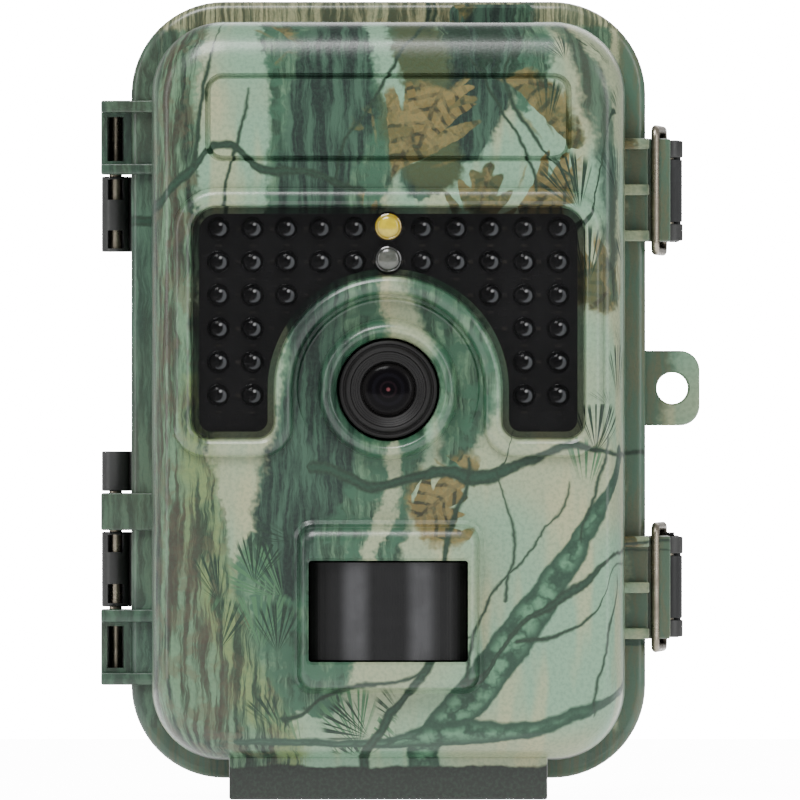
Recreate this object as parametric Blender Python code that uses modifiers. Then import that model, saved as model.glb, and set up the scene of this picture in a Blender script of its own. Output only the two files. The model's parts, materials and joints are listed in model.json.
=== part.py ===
"""Trail camera: a two-part case that opens like a book on a vertical hinge, held by two side latches.

Frame: metres, +Z up, the lens looks along -Y, x = 0 on the lens axis, z = 0 on the standing surface.
The constants are millimetres. The shape functions take millimetres and make meshes in metres.
"""

import math

import bmesh
import bpy
from mathutils import Matrix, Vector

MM = 0.001
AXES = {"X": 0, "Y": 1, "Z": 2}

# Case, in millimetres
FLANGE_HALF_WIDTH = 44.2
FLANGE_LOW = 3.3
FLANGE_HIGH = 136.8
FLANGE_RADIUS = 16.0
FLANGE_FRONT = -2.0
FRONT_RIM = 7.9
BODY_HALF_WIDTH = 40.7
BODY_LOW = 6.4
BODY_HIGH = 133.3
BODY_RADIUS = 12.5
BODY_FACE = -31.5
WALL = 2.5
FLANGE_WALL = 3.0
REAR_RIM = 8.2
REAR_BACK = 28.0
REAR_INSET = 0.3
TREE_FACE = 36.0
REAR_WALL = 2.4
FOOT_HALF_WIDTH = 27.2
FOOT_FRONT = -27.0
FOOT_BACK = 25.0
LABEL_HALF_WIDTH = 31.3
LABEL_LOW = 109.0
LABEL_HIGH = 124.1
BOSS_LEFT = 10.5
BOSS_RIGHT = 24.9
BOSS_TOP = 136.1
GAP = 0.3

# Lens, LED window and motion sensor on the front face
LENS_Z = 70.1
LENS_RING_RADIUS = 11.9
LENS_RING_TOP_RADIUS = 10.1
LENS_RING_FACE = -35.0
LENS_BORE_RADIUS = 8.7
BEZEL_FACE = -33.3
BEZEL_HALF_WIDTH = 36.8
BEZEL_LOW = 59.2
BEZEL_HIGH = 104.2
BEZEL_ARC = 16.9
WINDOW_HALF_WIDTH = 33.6
WINDOW_LOW = 61.6
WINDOW_HIGH = 101.4
WINDOW_ARC = 19.3
WINDOW_LEDGE = 1.3
WINDOW_FLOOR = -30.2
LED_RADIUS = 1.85
LED_TOP = -30.2
LED_PITCH = 5.8
LED_ROWS = ((97.6, 1), (91.9, 1), (86.2, 3), (80.5, 4), (74.8, 4), (69.1, 4))
STATUS_Z = 97.9
SENSOR_Z = 92.3
DOT_RADIUS = 2.3
PIR_Z = 32.25
PIR_HALF_WIDTH = 13.6
PIR_LOW = 23.6
PIR_HIGH = 40.9
PIR_FACE = -36.0
PIR_BOW = 2.6
HOOD_HALF_WIDTH = 15.3
HOOD_LOW = 18.9
HOOD_HIGH = 46.8
LENS_BACK = -19.6

# Hinge and latches
HINGE_X = -47.0
HINGE_Y = 8.0
HINGE_PIN_RADIUS = 1.1
HINGE_BORE_RADIUS = 1.25
KNUCKLE_RADIUS = 2.4
ARM_FRONT = -3.4
BRACKETS = (
    (107.1, 119.8, ((117.7, 119.8), (107.1, 108.9))),
    (45.9, 52.3, ((45.9, 52.3),)),
    (19.3, 32.3, ((30.1, 32.3), (19.3, 21.4))),
)
REAR_KNUCKLES = ((93.8, 106.8), (52.6, 59.5), (32.7, 45.6))
FRONT_PIN_WINDOWS = ((109.7, 116.5), (22.7, 29.4))
REAR_PIN_WINDOWS = ((102.8, 106.3), (94.4, 97.5), (42.1, 45.1), (33.3, 36.6))
LATCH_HEIGHTS = {"upper": 104.4, "lower": 36.1}
LATCH_X = 48.4
LATCH_Y = 13.0
LATCH_PIN_RADIUS = 0.8
LATCH_BORE_RADIUS = 0.95
LATCH_HALF_HEIGHT = 8.85
EAR_RADIUS = 2.4
EAR_INNER = 5.7
BAIL_X = 47.5
BAIL_Y = 20.0
BAIL_FRONT_X = 45.85
BAIL_FRONT_Y = -3.05
BAIL_RADIUS = 0.7
BAIL_HALF_HEIGHT = 10.5
TAB_Z = 70.35
TAB_HALF_HEIGHT = 6.45
TAB_X = 53.6
TAB_HOLE_X = 48.9
TAB_HOLE_RADIUS = 2.7

# Inside the front half
PANEL_FRONT = 0.3
PANEL_BACK = 2.1
BOARD_FRONT = -6.2
BOARD_BACK = -4.6
POSTS = [(x, z) for x in (-33.5, 33.5) for z in (14.0, 125.8)]
POST_RADIUS = 3.0
SCREW_RADIUS = 1.1
LCD_Z = 104.0
BUTTON_PITCH = 11.0
BUTTONS = {
    "button_ok": (0.0, 62.0),
    "button_up": (0.0, 62.0 + BUTTON_PITCH),
    "button_down": (0.0, 62.0 - BUTTON_PITCH),
    "button_left": (BUTTON_PITCH, 62.0),
    "button_right": (-BUTTON_PITCH, 62.0),
    "button_menu": (24.0, 73.0),
    "button_shot": (-24.0, 73.0),
}
BUTTON_RADIUS = 3.5
SWITCH_X = 11.5
SWITCH_Z = 30.0
CARD_X = -15.0
CARD_Z = 13.2
CARD_SLOT_LOW = 37.0
CARD_SLOT_HIGH = 46.4

# Inside the rear half
CELL_RADIUS = 7.05
CELL_LENGTH = 50.5
CELL_Y = 17.25
CELL_COLUMNS = (-22.5, -7.5, 7.5, 22.5)
CELL_ROWS = (14.8, 74.6)
HOLDER_POCKETS = ((11.0, 69.2), (70.8, 129.0))
HOLDER_HALF_WIDTH = 32.0
HOLDER_WALL = 1.6
TRIPOD_Y = 17.0
JACK_X = 32.8
PLUG_X = 36.2
JACK_Y = 19.0
JACK_Z = 56.0
STRAP_BAR_X = (27.0, 31.5)
STRAP_BAR_LOW = 53.0
STRAP_BAR_HIGH = 87.0
RIDGE_TEETH = 7
RIDGE_PITCH = 4.0
RIDGE_X = (-16.0, 16.0)
RIDGE_LOW = (13.0, 97.0)


def clear_scene():
    for old in list(bpy.data.objects):
        bpy.data.objects.remove(old, do_unlink=True)


def make_collection(name, hidden):
    made = bpy.data.collections.new(name)
    bpy.context.scene.collection.children.link(made)
    made.hide_render = hidden
    return made


def plastic(name, colour, roughness, metallic=0.0):
    """A Principled material with the sub-part's base colour."""
    material = bpy.data.materials.new(name)
    material.use_nodes = True
    shader = material.node_tree.nodes["Principled BSDF"]
    shader.inputs["Base Color"].default_value = (*colour, 1.0)
    shader.inputs["Roughness"].default_value = roughness
    shader.inputs["Metallic"].default_value = metallic
    material.diffuse_color = (*colour, 1.0)
    return material


# Mesh shapes


def block(low, high, radius=0.0, segments=6, axis="Y"):
    """A box between two corners whose edges along one axis are rounded."""
    shape = bmesh.new()
    bmesh.ops.create_cube(shape, size=1.0)
    size = Vector(b - a for a, b in zip(low, high)) * MM
    centre = Vector((a + b) / 2 for a, b in zip(low, high)) * MM
    bmesh.ops.scale(shape, vec=size, verts=shape.verts)
    bmesh.ops.translate(shape, vec=centre, verts=shape.verts)
    if radius:
        along = AXES[axis]
        edges = [edge for edge in shape.edges if abs((edge.verts[0].co - edge.verts[1].co)[along]) > 1e-6]
        bmesh.ops.bevel(shape, geom=edges, offset=radius * MM, segments=segments, profile=0.5, affect="EDGES")
    return shape


def soften(shape, axis, side, width, segments):
    """Fillets the rim of the flat face at one end of a block."""
    along = AXES[axis]
    limit = max(vert.co[along] * side for vert in shape.verts)
    rim = [edge for edge in shape.edges if all(vert.co[along] * side > limit - 1e-6 for vert in edge.verts)]
    bmesh.ops.bevel(shape, geom=rim, offset=width * MM, segments=segments, profile=0.5, affect="EDGES")
    return shape


def rod(start, end, radius, sides=20, end_radius=None):
    """A closed cylinder or cone between two points that lie along X, Y or Z."""
    shape = bmesh.new()
    first = Vector(start) * MM
    last = Vector(end) * MM
    top_radius = radius if end_radius is None else end_radius
    bmesh.ops.create_cone(
        shape,
        cap_ends=True,
        segments=sides,
        radius1=radius * MM,
        radius2=top_radius * MM,
        depth=(last - first).length,
    )
    turn = Vector((0, 0, 1)).rotation_difference(last - first).to_matrix().to_4x4()
    bmesh.ops.transform(shape, matrix=Matrix.Translation((first + last) / 2) @ turn, verts=shape.verts)
    return shape


def joined(*shapes):
    """Gathers shapes that don't touch into one mesh, to cut or join them in one step."""
    total = bmesh.new()
    for shape in shapes:
        mesh = bpy.data.meshes.new("gathered")
        shape.to_mesh(mesh)
        shape.free()
        total.from_mesh(mesh)
        bpy.data.meshes.remove(mesh)
    return total


class Camera:
    """The collections, the joint empties and the ways to add and cut a sub-part."""

    def __init__(self):
        self.parts = make_collection("trail_camera", False)
        self.cutters = make_collection("cutters", True)
        self.pivots = {}

    def pivot(self, name, place, parent=None):
        empty = bpy.data.objects.new(name, None)
        empty.empty_display_size = 0.01
        self.parts.objects.link(empty)
        empty.matrix_world = Matrix.Translation(Vector(place) * MM)
        if parent:
            empty.parent = self.pivots[parent][0]
            empty.matrix_parent_inverse = self.pivots[parent][1].inverted()
        self.pivots[name] = (empty, Matrix.Translation(Vector(place) * MM))

    def hang(self, thing, pivot):
        if pivot:
            thing.parent = self.pivots[pivot][0]
            thing.matrix_parent_inverse = self.pivots[pivot][1].inverted()

    def add(self, name, shape, material, pivot=None):
        mesh = bpy.data.meshes.new(name)
        bmesh.ops.recalc_face_normals(shape, faces=shape.faces)
        shape.to_mesh(mesh)
        shape.free()
        mesh.shade_smooth()
        mesh.set_sharp_from_angle(angle=math.radians(30))
        mesh.materials.append(material)
        thing = bpy.data.objects.new(name, mesh)
        self.parts.objects.link(thing)
        self.hang(thing, pivot)
        return thing

    def change(self, thing, shape, operation):
        """Joins a shape to a sub-part, or cuts the sub-part with it."""
        name = f"{thing.name}_{operation.lower()}_{len(thing.modifiers)}"
        mesh = bpy.data.meshes.new(name)
        bmesh.ops.recalc_face_normals(shape, faces=shape.faces)
        shape.to_mesh(mesh)
        shape.free()
        cutter = bpy.data.objects.new(name, mesh)
        self.cutters.objects.link(cutter)
        cutter.hide_render = True
        cutter.display_type = "WIRE"
        step = thing.modifiers.new(name, "BOOLEAN")
        step.operation = operation
        step.solver = "EXACT"
        step.object = cutter
        return cutter

    def cut(self, thing, *shapes):
        self.change(thing, joined(*shapes), "DIFFERENCE")

    def join(self, thing, *shapes):
        self.change(thing, joined(*shapes), "UNION")

    def turned(self, name, profile, place, facing, material, pivot=None, steps=24, closed=False):
        """Turns a profile of (radius, height) points, outer side from top to bottom, about its own axis."""
        mesh = bpy.data.meshes.new(name)
        edges = [(i, i + 1) for i in range(len(profile) - 1)]
        if closed:
            edges.append((len(profile) - 1, 0))
        mesh.from_pydata([(r * MM, 0.0, h * MM) for r, h in profile], edges, [])
        mesh.materials.append(material)
        thing = bpy.data.objects.new(name, mesh)
        self.parts.objects.link(thing)
        turn = Vector((0, 0, 1)).rotation_difference(Vector(facing))
        thing.location = Vector(place) * MM
        thing.rotation_mode = "QUATERNION"
        thing.rotation_quaternion = turn
        screw = thing.modifiers.new("turn", "SCREW")
        screw.axis = "Z"
        screw.angle = math.tau
        screw.steps = steps
        screw.render_steps = steps
        screw.use_merge_vertices = True
        screw.merge_threshold = 0.00001
        screw.use_smooth_shade = True
        self.hang(thing, pivot)
        return thing


# Front half of the case


def keyhole(radius, front, back):
    """The space around the lens under the arch: a disc that runs on downwards at its full width."""
    shape = bmesh.new()
    bottom = 40.0
    points = [(radius, bottom), (-radius, bottom)]
    steps = 20
    for i in range(steps + 1):
        angle = math.pi - math.pi * i / steps
        points.append((radius * math.cos(angle), LENS_Z + radius * math.sin(angle)))
    ring = [shape.verts.new(Vector((x, front, z)) * MM) for x, z in points]
    face = shape.faces.new(ring)
    grown = bmesh.ops.extrude_face_region(shape, geom=[face])
    moved = [item for item in grown["geom"] if isinstance(item, bmesh.types.BMVert)]
    bmesh.ops.translate(shape, vec=Vector((0, back - front, 0)) * MM, verts=moved)
    return shape


def arch(inset, front, back):
    """The arch outline of the LED window, drawn in by an inset: a rounded block with the keyhole cut out."""
    shape = block(
        (inset - WINDOW_HALF_WIDTH, front, WINDOW_LOW + inset),
        (WINDOW_HALF_WIDTH - inset, back, WINDOW_HIGH - inset),
        4.0 - inset,
        4,
    )
    return minus(shape, keyhole(WINDOW_ARC + inset, front - 1.0, back + 1.0))


def minus(shape, cutter):
    """One shape cut by another, worked out at once with a Boolean modifier on two passing objects."""
    objects = []
    for part in (shape, cutter):
        bmesh.ops.recalc_face_normals(part, faces=part.faces)
        mesh = bpy.data.meshes.new("passing")
        part.to_mesh(mesh)
        part.free()
        passing = bpy.data.objects.new("passing", mesh)
        bpy.context.scene.collection.objects.link(passing)
        objects.append(passing)
    step = objects[0].modifiers.new("cut", "BOOLEAN")
    step.operation = "DIFFERENCE"
    step.object = objects[1]
    graph = bpy.context.evaluated_depsgraph_get()
    result = bmesh.new()
    result.from_mesh(objects[0].evaluated_get(graph).to_mesh())
    for passing in objects:
        bpy.data.objects.remove(passing, do_unlink=True)
    return result


def rim_ring(outer, width, depth_front, depth_back, low, high, half_width, radius):
    """A rounded rectangular ring around the case, drawn in from an outline by `outer`, `width` wide."""
    inner = outer + width
    full = block(
        (outer - half_width, depth_front, low + outer),
        (half_width - outer, depth_back, high - outer),
        radius - outer,
        6,
    )
    hole = block(
        (inner - half_width, depth_front - 1.0, low + inner),
        (half_width - inner, depth_back + 1.0, high - inner),
        radius - inner,
        6,
    )
    return minus(full, hole)


def hinge_bracket(low, high, arms):
    """A front-half hinge knuckle around the pin, its web to the flange, and arms over the flange's front."""
    radius = KNUCKLE_RADIUS + 0.1
    web_low = (HINGE_X - KNUCKLE_RADIUS, HINGE_Y - 6.4, low)
    web_high = (2.0 - FLANGE_HALF_WIDTH, FRONT_RIM - 0.1, high)
    shapes = [
        rod((HINGE_X, HINGE_Y, low), (HINGE_X, HINGE_Y, high), radius, 16),
        block(web_low, web_high),
    ]
    for arm_low, arm_high in arms:
        low_corner = (HINGE_X - KNUCKLE_RADIUS, ARM_FRONT, arm_low)
        shapes.append(block(low_corner, (1.0 - BODY_HALF_WIDTH, HINGE_Y - 3.0, arm_high)))
    return shapes


def hinge_bore(low, high):
    return rod((HINGE_X, HINGE_Y, low), (HINGE_X, HINGE_Y, high), HINGE_BORE_RADIUS, 12)


def pin_window(low, high, back):
    """An opening at the front of a knuckle that shows the hinge pin."""
    return block((HINGE_X - 1.3, ARM_FRONT - 1.0, low), (HINGE_X + 1.4, back, high))


def build_front_shell(camera, material):
    body = block(
        (-BODY_HALF_WIDTH, BODY_FACE, BODY_LOW),
        (BODY_HALF_WIDTH, 0.0, BODY_HIGH),
        BODY_RADIUS,
        6,
    )
    shell = camera.add("front_shell", soften(body, "Y", -1, 5.0, 4), material, "cover_hinge")
    flange = block(
        (-FLANGE_HALF_WIDTH, FLANGE_FRONT, FLANGE_LOW),
        (FLANGE_HALF_WIDTH, FRONT_RIM, FLANGE_HIGH),
        FLANGE_RADIUS,
        7,
    )
    camera.join(shell, soften(flange, "Y", -1, 1.2, 2))
    boss = block((BOSS_LEFT, -15.0, 128.0), (BOSS_RIGHT, FLANGE_FRONT + 0.5, BOSS_TOP), 1.4, 2)
    foot = block((-FOOT_HALF_WIDTH, FOOT_FRONT, 0.0), (FOOT_HALF_WIDTH, FRONT_RIM, 7.5))
    tab = block(
        (40.0, 4.3, TAB_Z - TAB_HALF_HEIGHT),
        (TAB_X, FRONT_RIM, TAB_Z + TAB_HALF_HEIGHT),
        3.4,
        4,
    )
    camera.join(shell, boss, foot, tab)
    bezel = block(
        (-BEZEL_HALF_WIDTH, BEZEL_FACE, BEZEL_LOW),
        (BEZEL_HALF_WIDTH, BODY_FACE + 1.0, BEZEL_HIGH),
        6.0,
        5,
    )
    bezel = minus(soften(bezel, "Y", -1, 0.8, 1), keyhole(BEZEL_ARC, BEZEL_FACE - 1.0, BODY_FACE + 2.0))
    ring = rod(
        (0.0, BODY_FACE + 1.0, LENS_Z),
        (0.0, LENS_RING_FACE, LENS_Z),
        LENS_RING_RADIUS,
        32,
        LENS_RING_TOP_RADIUS,
    )
    hood = block(
        (-HOOD_HALF_WIDTH, PIR_FACE, HOOD_LOW),
        (HOOD_HALF_WIDTH, BODY_FACE + 1.0, HOOD_HIGH),
        2.5,
        3,
    )
    camera.join(shell, bezel, ring, soften(hood, "Y", -1, 1.5, 2))
    for name, height in LATCH_HEIGHTS.items():
        add_catch(camera, shell, height)
    for low, high, arms in BRACKETS:
        for shape in hinge_bracket(low, high, arms):
            camera.join(shell, shape)
    cavity_radius = BODY_RADIUS - WALL
    camera.cut(
        shell,
        block(
            (WALL - BODY_HALF_WIDTH, BODY_FACE + WALL, BODY_LOW + WALL),
            (BODY_HALF_WIDTH - WALL, 1.0, BODY_HIGH - WALL),
            cavity_radius,
            5,
        ),
    )
    camera.cut(
        shell,
        block(
            (FLANGE_WALL - FLANGE_HALF_WIDTH, 0.0, FLANGE_LOW + FLANGE_WALL),
            (FLANGE_HALF_WIDTH - FLANGE_WALL, FRONT_RIM + 1.0, FLANGE_HIGH - FLANGE_WALL),
            FLANGE_RADIUS - FLANGE_WALL,
            6,
        ),
    )
    camera.join(shell, *(rod((x, BODY_FACE + 1.0, z), (x, 0.0, z), POST_RADIUS, 12) for x, z in POSTS))
    camera.cut(shell, *(rod((x, -7.0, z), (x, 1.0, z), SCREW_RADIUS + 0.3, 10) for x, z in POSTS))
    camera.cut(shell, arch(0.0, BEZEL_FACE - 1.0, WINDOW_FLOOR))
    camera.cut(shell, arch(WINDOW_LEDGE, WINDOW_FLOOR - 0.5, BODY_FACE + WALL + 1.0))
    camera.cut(
        shell,
        rod((0, LENS_RING_FACE - 1.0, LENS_Z), (0, -27.0, LENS_Z), LENS_BORE_RADIUS, 32),
        block(
            (-PIR_HALF_WIDTH, PIR_FACE - 1.0, PIR_LOW),
            (PIR_HALF_WIDTH, -27.0, PIR_HIGH),
        ),
        *(rod((0, WINDOW_FLOOR - 0.5, z), (0, -28.0, z), DOT_RADIUS + GAP, 20) for z in (STATUS_Z, SENSOR_Z)),
        rim_ring(
            0.0,
            1.0,
            BODY_FACE - 1.0,
            BODY_FACE + 0.5,
            LABEL_LOW,
            LABEL_HIGH,
            LABEL_HALF_WIDTH,
            3.1,
        ),
        rod((TAB_HOLE_X, 0.0, TAB_Z), (TAB_HOLE_X, 12.0, TAB_Z), TAB_HOLE_RADIUS, 20),
        hinge_bore(107.0, 120.0),
        hinge_bore(19.0, 53.0),
    )
    camera.cut(shell, *(pin_window(low, high, 9.3) for low, high in FRONT_PIN_WINDOWS))


def add_catch(camera, shell, height):
    """The catch that the bail hooks over: a lug on the flange's side, and three ribs in front of it."""
    low = height - LATCH_HALF_HEIGHT
    high = height + LATCH_HALF_HEIGHT
    camera.join(shell, block((41.5, FLANGE_FRONT, low), (48.5, 7.5, high)))
    ribs = block((38.0, -8.0, low), (44.8, FLANGE_FRONT + 0.5, high))
    upper = block((41.8, -9.0, height + 1.1), (46.0, FLANGE_FRONT - 0.6, height + 6.9))
    lower = block((41.8, -9.0, height - 6.9), (46.0, FLANGE_FRONT - 0.6, height - 1.1))
    camera.join(shell, minus(ribs, joined(upper, lower)))


# What the front face shows


def build_led_window(camera, material):
    window = camera.add("led_window", arch(0.25, -32.1, WINDOW_FLOOR - GAP), material, "cover_hinge")
    dots = [rod((0, -34.0, z), (0, -29.0, z), DOT_RADIUS + 0.2, 16) for z in (STATUS_Z, SENSOR_Z)]
    camera.cut(window, *dots)


def build_led_board(camera, material):
    """The board behind the front wall with its infrared LEDs, in rows that step around the lens."""
    board = block((-34.0, -28.7, 61.0), (34.0, -27.3, 102.0))
    board = minus(board, keyhole(LENS_RING_RADIUS, -30.0, -26.0))
    thing = camera.add("led_board", board, material, "cover_hinge")
    leds = []
    for z, first in LED_ROWS:
        for column in range(first, 6):
            for side in (-1, 1):
                x = side * LED_PITCH * column
                leds.append(rod((x, -28.0, z), (x, LED_TOP, z), LED_RADIUS, 6, 1.4))
    camera.join(thing, *leds)


def build_dots(camera, yellow, clear):
    for name, z, material in (("status_led", STATUS_Z, yellow), ("light_sensor", SENSOR_Z, clear)):
        profile = [(0, 3.6), (1.3, 3.3), (DOT_RADIUS - 0.3, 2.7), (DOT_RADIUS, 2.3), (DOT_RADIUS, 0), (0, 0)]
        camera.turned(name, profile, (0, -29.0, z), (0, -1, 0), material, "cover_hinge", 16)


def build_lens(camera, barrel_material, glass_material):
    profile = [
        (4.8, 13.4),
        (7.2, 14.6),
        (7.6, 14.2),
        (8.0, 14.4),
        (8.4, 14.0),
        (8.4, 7.0),
        (7.0, 6.5),
        (7.0, 0.0),
        (3.6, 0.0),
        (3.6, 11.4),
        (4.8, 11.8),
    ]
    place = (0, LENS_BACK, LENS_Z)
    camera.turned(
        "lens_barrel", profile, place, (0, -1, 0), barrel_material, "cover_hinge", 24, closed=True
    )
    dome = [(0, 13.2), (1.8, 13.05), (3.4, 12.65), (4.5, 12.1), (4.5, 12.0), (3.0, 12.0), (0, 12.0)]
    camera.turned("lens_glass", dome, place, (0, -1, 0), glass_material, "cover_hinge", 24)


def build_lens_holder(camera, holder_material, filter_material, board_material):
    """The holder behind the lens, with a slot in which the infrared cut filter slides sideways."""
    holder = block((-9.5, -19.3, LENS_Z - 9.0), (17.0, -11.0, LENS_Z + 9.0), 1.0, 2)
    thing = camera.add("lens_holder", holder, holder_material, "cover_hinge")
    camera.cut(thing, rod((0, -20.0, LENS_Z), (0, -10.0, LENS_Z), 4.2, 20))
    camera.cut(thing, block((-6.0, -14.7, LENS_Z - 5.6), (15.0, -13.3, LENS_Z + 5.6)))
    filter_plate = block((-5.1, -14.4, LENS_Z - 5.2), (5.1, -13.6, LENS_Z + 5.2), 0.8, 2)
    camera.add("ir_cut_filter", filter_plate, filter_material, "filter_slide")
    sensor_board = block((-9.5, -10.7, LENS_Z - 9.0), (17.0, -9.3, LENS_Z + 9.0), 0.8, 2)
    camera.add("image_sensor_board", sensor_board, board_material, "cover_hinge")


def build_motion_sensor(camera, lens_material, can_material, board_material):
    """The bowed Fresnel lens in the hood, and the sensor can behind it."""
    shape = bmesh.new()
    columns = 10
    half = PIR_HALF_WIDTH - GAP
    rows = []
    for depth in (0.0, 1.0):
        for z in (PIR_LOW + GAP, PIR_HIGH - GAP):
            row = []
            for i in range(columns + 1):
                x = half * (2 * i / columns - 1)
                bow = PIR_BOW * (1 - (x / half) ** 2)
                row.append(shape.verts.new(Vector((x, -32.6 - bow + depth, z)) * MM))
            rows.append(row)
    front_low, front_high, back_low, back_high = rows
    for first, second in (
        (front_low, front_high),
        (front_high, back_high),
        (back_high, back_low),
        (back_low, front_low),
    ):
        for i in range(columns):
            shape.faces.new((first[i], first[i + 1], second[i + 1], second[i]))
    for i in (0, columns):
        shape.faces.new((front_low[i], front_high[i], back_high[i], back_low[i]))
    camera.add("pir_lens", shape, lens_material, "cover_hinge")
    can = [(0, 4.2), (4.2, 4.2), (4.2, 0.6), (4.9, 0.6), (4.9, 0), (0, 0)]
    camera.turned("pir_sensor", can, (0, -16.8, PIR_Z), (0, -1, 0), can_material, "cover_hinge", 20)
    board = block((-12.0, -16.4, 21.5), (12.0, -15.0, 43.0), 1.0, 2)
    camera.add("pir_board", board, board_material, "cover_hinge")


# Inside the front half


def build_main_board(camera, board_material, can_material):
    board = block((-36.5, BOARD_FRONT, 11.0), (36.5, BOARD_BACK, 129.0), 8.0, 3)
    thing = camera.add("main_board", board, board_material, "cover_hinge")
    camera.cut(thing, *(rod((x, -8.0, z), (x, -3.0, z), POST_RADIUS + 0.4, 12) for x, z in POSTS))
    camera.turned(
        "microphone",
        [(0, 2.3), (2.8, 2.3), (3.0, 2.1), (3.0, 0), (0, 0)],
        (27.0, BOARD_FRONT - GAP, 24.0),
        (0, -1, 0),
        can_material,
        "cover_hinge",
        16,
    )


def build_inner_panel(camera, material):
    panel = block(
        (-40.9, PANEL_FRONT, 6.6),
        (40.9, PANEL_BACK, 133.5),
        12.7,
        6,
    )
    thing = camera.add("inner_panel", panel, material, "cover_hinge")
    low = PANEL_FRONT - 1.0
    high = PANEL_BACK + 1.0
    holes = [rod((x, low, z), (x, high, z), BUTTON_RADIUS + 0.3, 20) for x, z in BUTTONS.values()]
    holes += [rod((x, low, z), (x, high, z), SCREW_RADIUS + 0.4, 12) for x, z in POSTS]
    holes.append(block((-21.0, low, LCD_Z - 16.0), (21.0, high, LCD_Z + 16.0), 1.0, 2))
    holes.append(block((SWITCH_X - 2.3, low, SWITCH_Z - 1.8), (SWITCH_X + 9.3, high, SWITCH_Z + 1.8)))
    slot_low = (CARD_X - 12.8, low, CARD_SLOT_LOW)
    slot_high = (CARD_X + 12.8, high, CARD_SLOT_HIGH)
    holes.append(block(slot_low, slot_high, 1.0, 2))
    camera.cut(thing, *holes)


def build_display(camera, module_material, window_material):
    module = block((-25.0, -3.6, LCD_Z - 19.0), (25.0, 0.0, LCD_Z + 19.0), 0.8, 2)
    camera.add("lcd_module", module, module_material, "cover_hinge")
    window = block((-20.7, 0.4, LCD_Z - 15.7), (20.7, 1.9, LCD_Z + 15.7), 0.8, 2)
    camera.add("lcd_window", window, window_material, "cover_hinge")


def build_keypad(camera, material):
    """Seven buttons: a cap that stands through the panel on a wider foot that keeps it in."""
    foot_radius = BUTTON_RADIUS + 0.9
    profile = [
        (0, 5.2),
        (BUTTON_RADIUS - 0.6, 5.2),
        (BUTTON_RADIUS, 4.7),
        (BUTTON_RADIUS, 1.0),
        (foot_radius, 1.0),
        (foot_radius, 0),
        (0, 0),
    ]
    for name, (x, z) in BUTTONS.items():
        camera.pivot(f"{name}_travel", (x, -1.4, z), "cover_hinge")
        camera.turned(name, profile, (x, -1.4, z), (0, 1, 0), material, f"{name}_travel", 14)


def build_switch(camera, material):
    slider = block((SWITCH_X - 5.0, -2.0, SWITCH_Z - 3.4), (SWITCH_X + 5.0, -0.4, SWITCH_Z + 3.4), 0.6, 2)
    thing = camera.add("power_switch", slider, material, "switch_slide")
    camera.join(thing, block((SWITCH_X - 1.6, -1.0, SWITCH_Z - 1.4), (SWITCH_X + 1.6, 3.6, SWITCH_Z + 1.4)))


def build_card(camera, card_material, socket_material):
    card = block((CARD_X - 12.0, -2.9, CARD_Z), (CARD_X + 12.0, -0.8, CARD_Z + 32.0), 0.8, 2)
    camera.add("sd_card", card, card_material, "card_slide")
    socket = block((CARD_X - 13.2, -4.3, 10.8), (CARD_X + 13.2, 0.0, 37.5), 0.5, 1)
    thing = camera.add("sd_socket", socket, socket_material, "cover_hinge")
    camera.cut(thing, block((CARD_X - 12.3, -3.1, 11.6), (CARD_X + 12.3, -0.6, 39.0)))


def build_panel_screws(camera, material):
    profile = [
        (0, 8.6),
        (1.8, 8.4),
        (2.5, 7.6),
        (2.5, 7.1),
        (SCREW_RADIUS, 7.1),
        (SCREW_RADIUS, 0.6),
        (0, 0),
    ]
    for number, (x, z) in enumerate(POSTS, start=1):
        place = (x, PANEL_BACK + 0.2 - 7.1, z)
        camera.turned(f"panel_screw_{number}", profile, place, (0, 1, 0), material, "cover_hinge", 8)


# Rear half of the case


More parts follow.
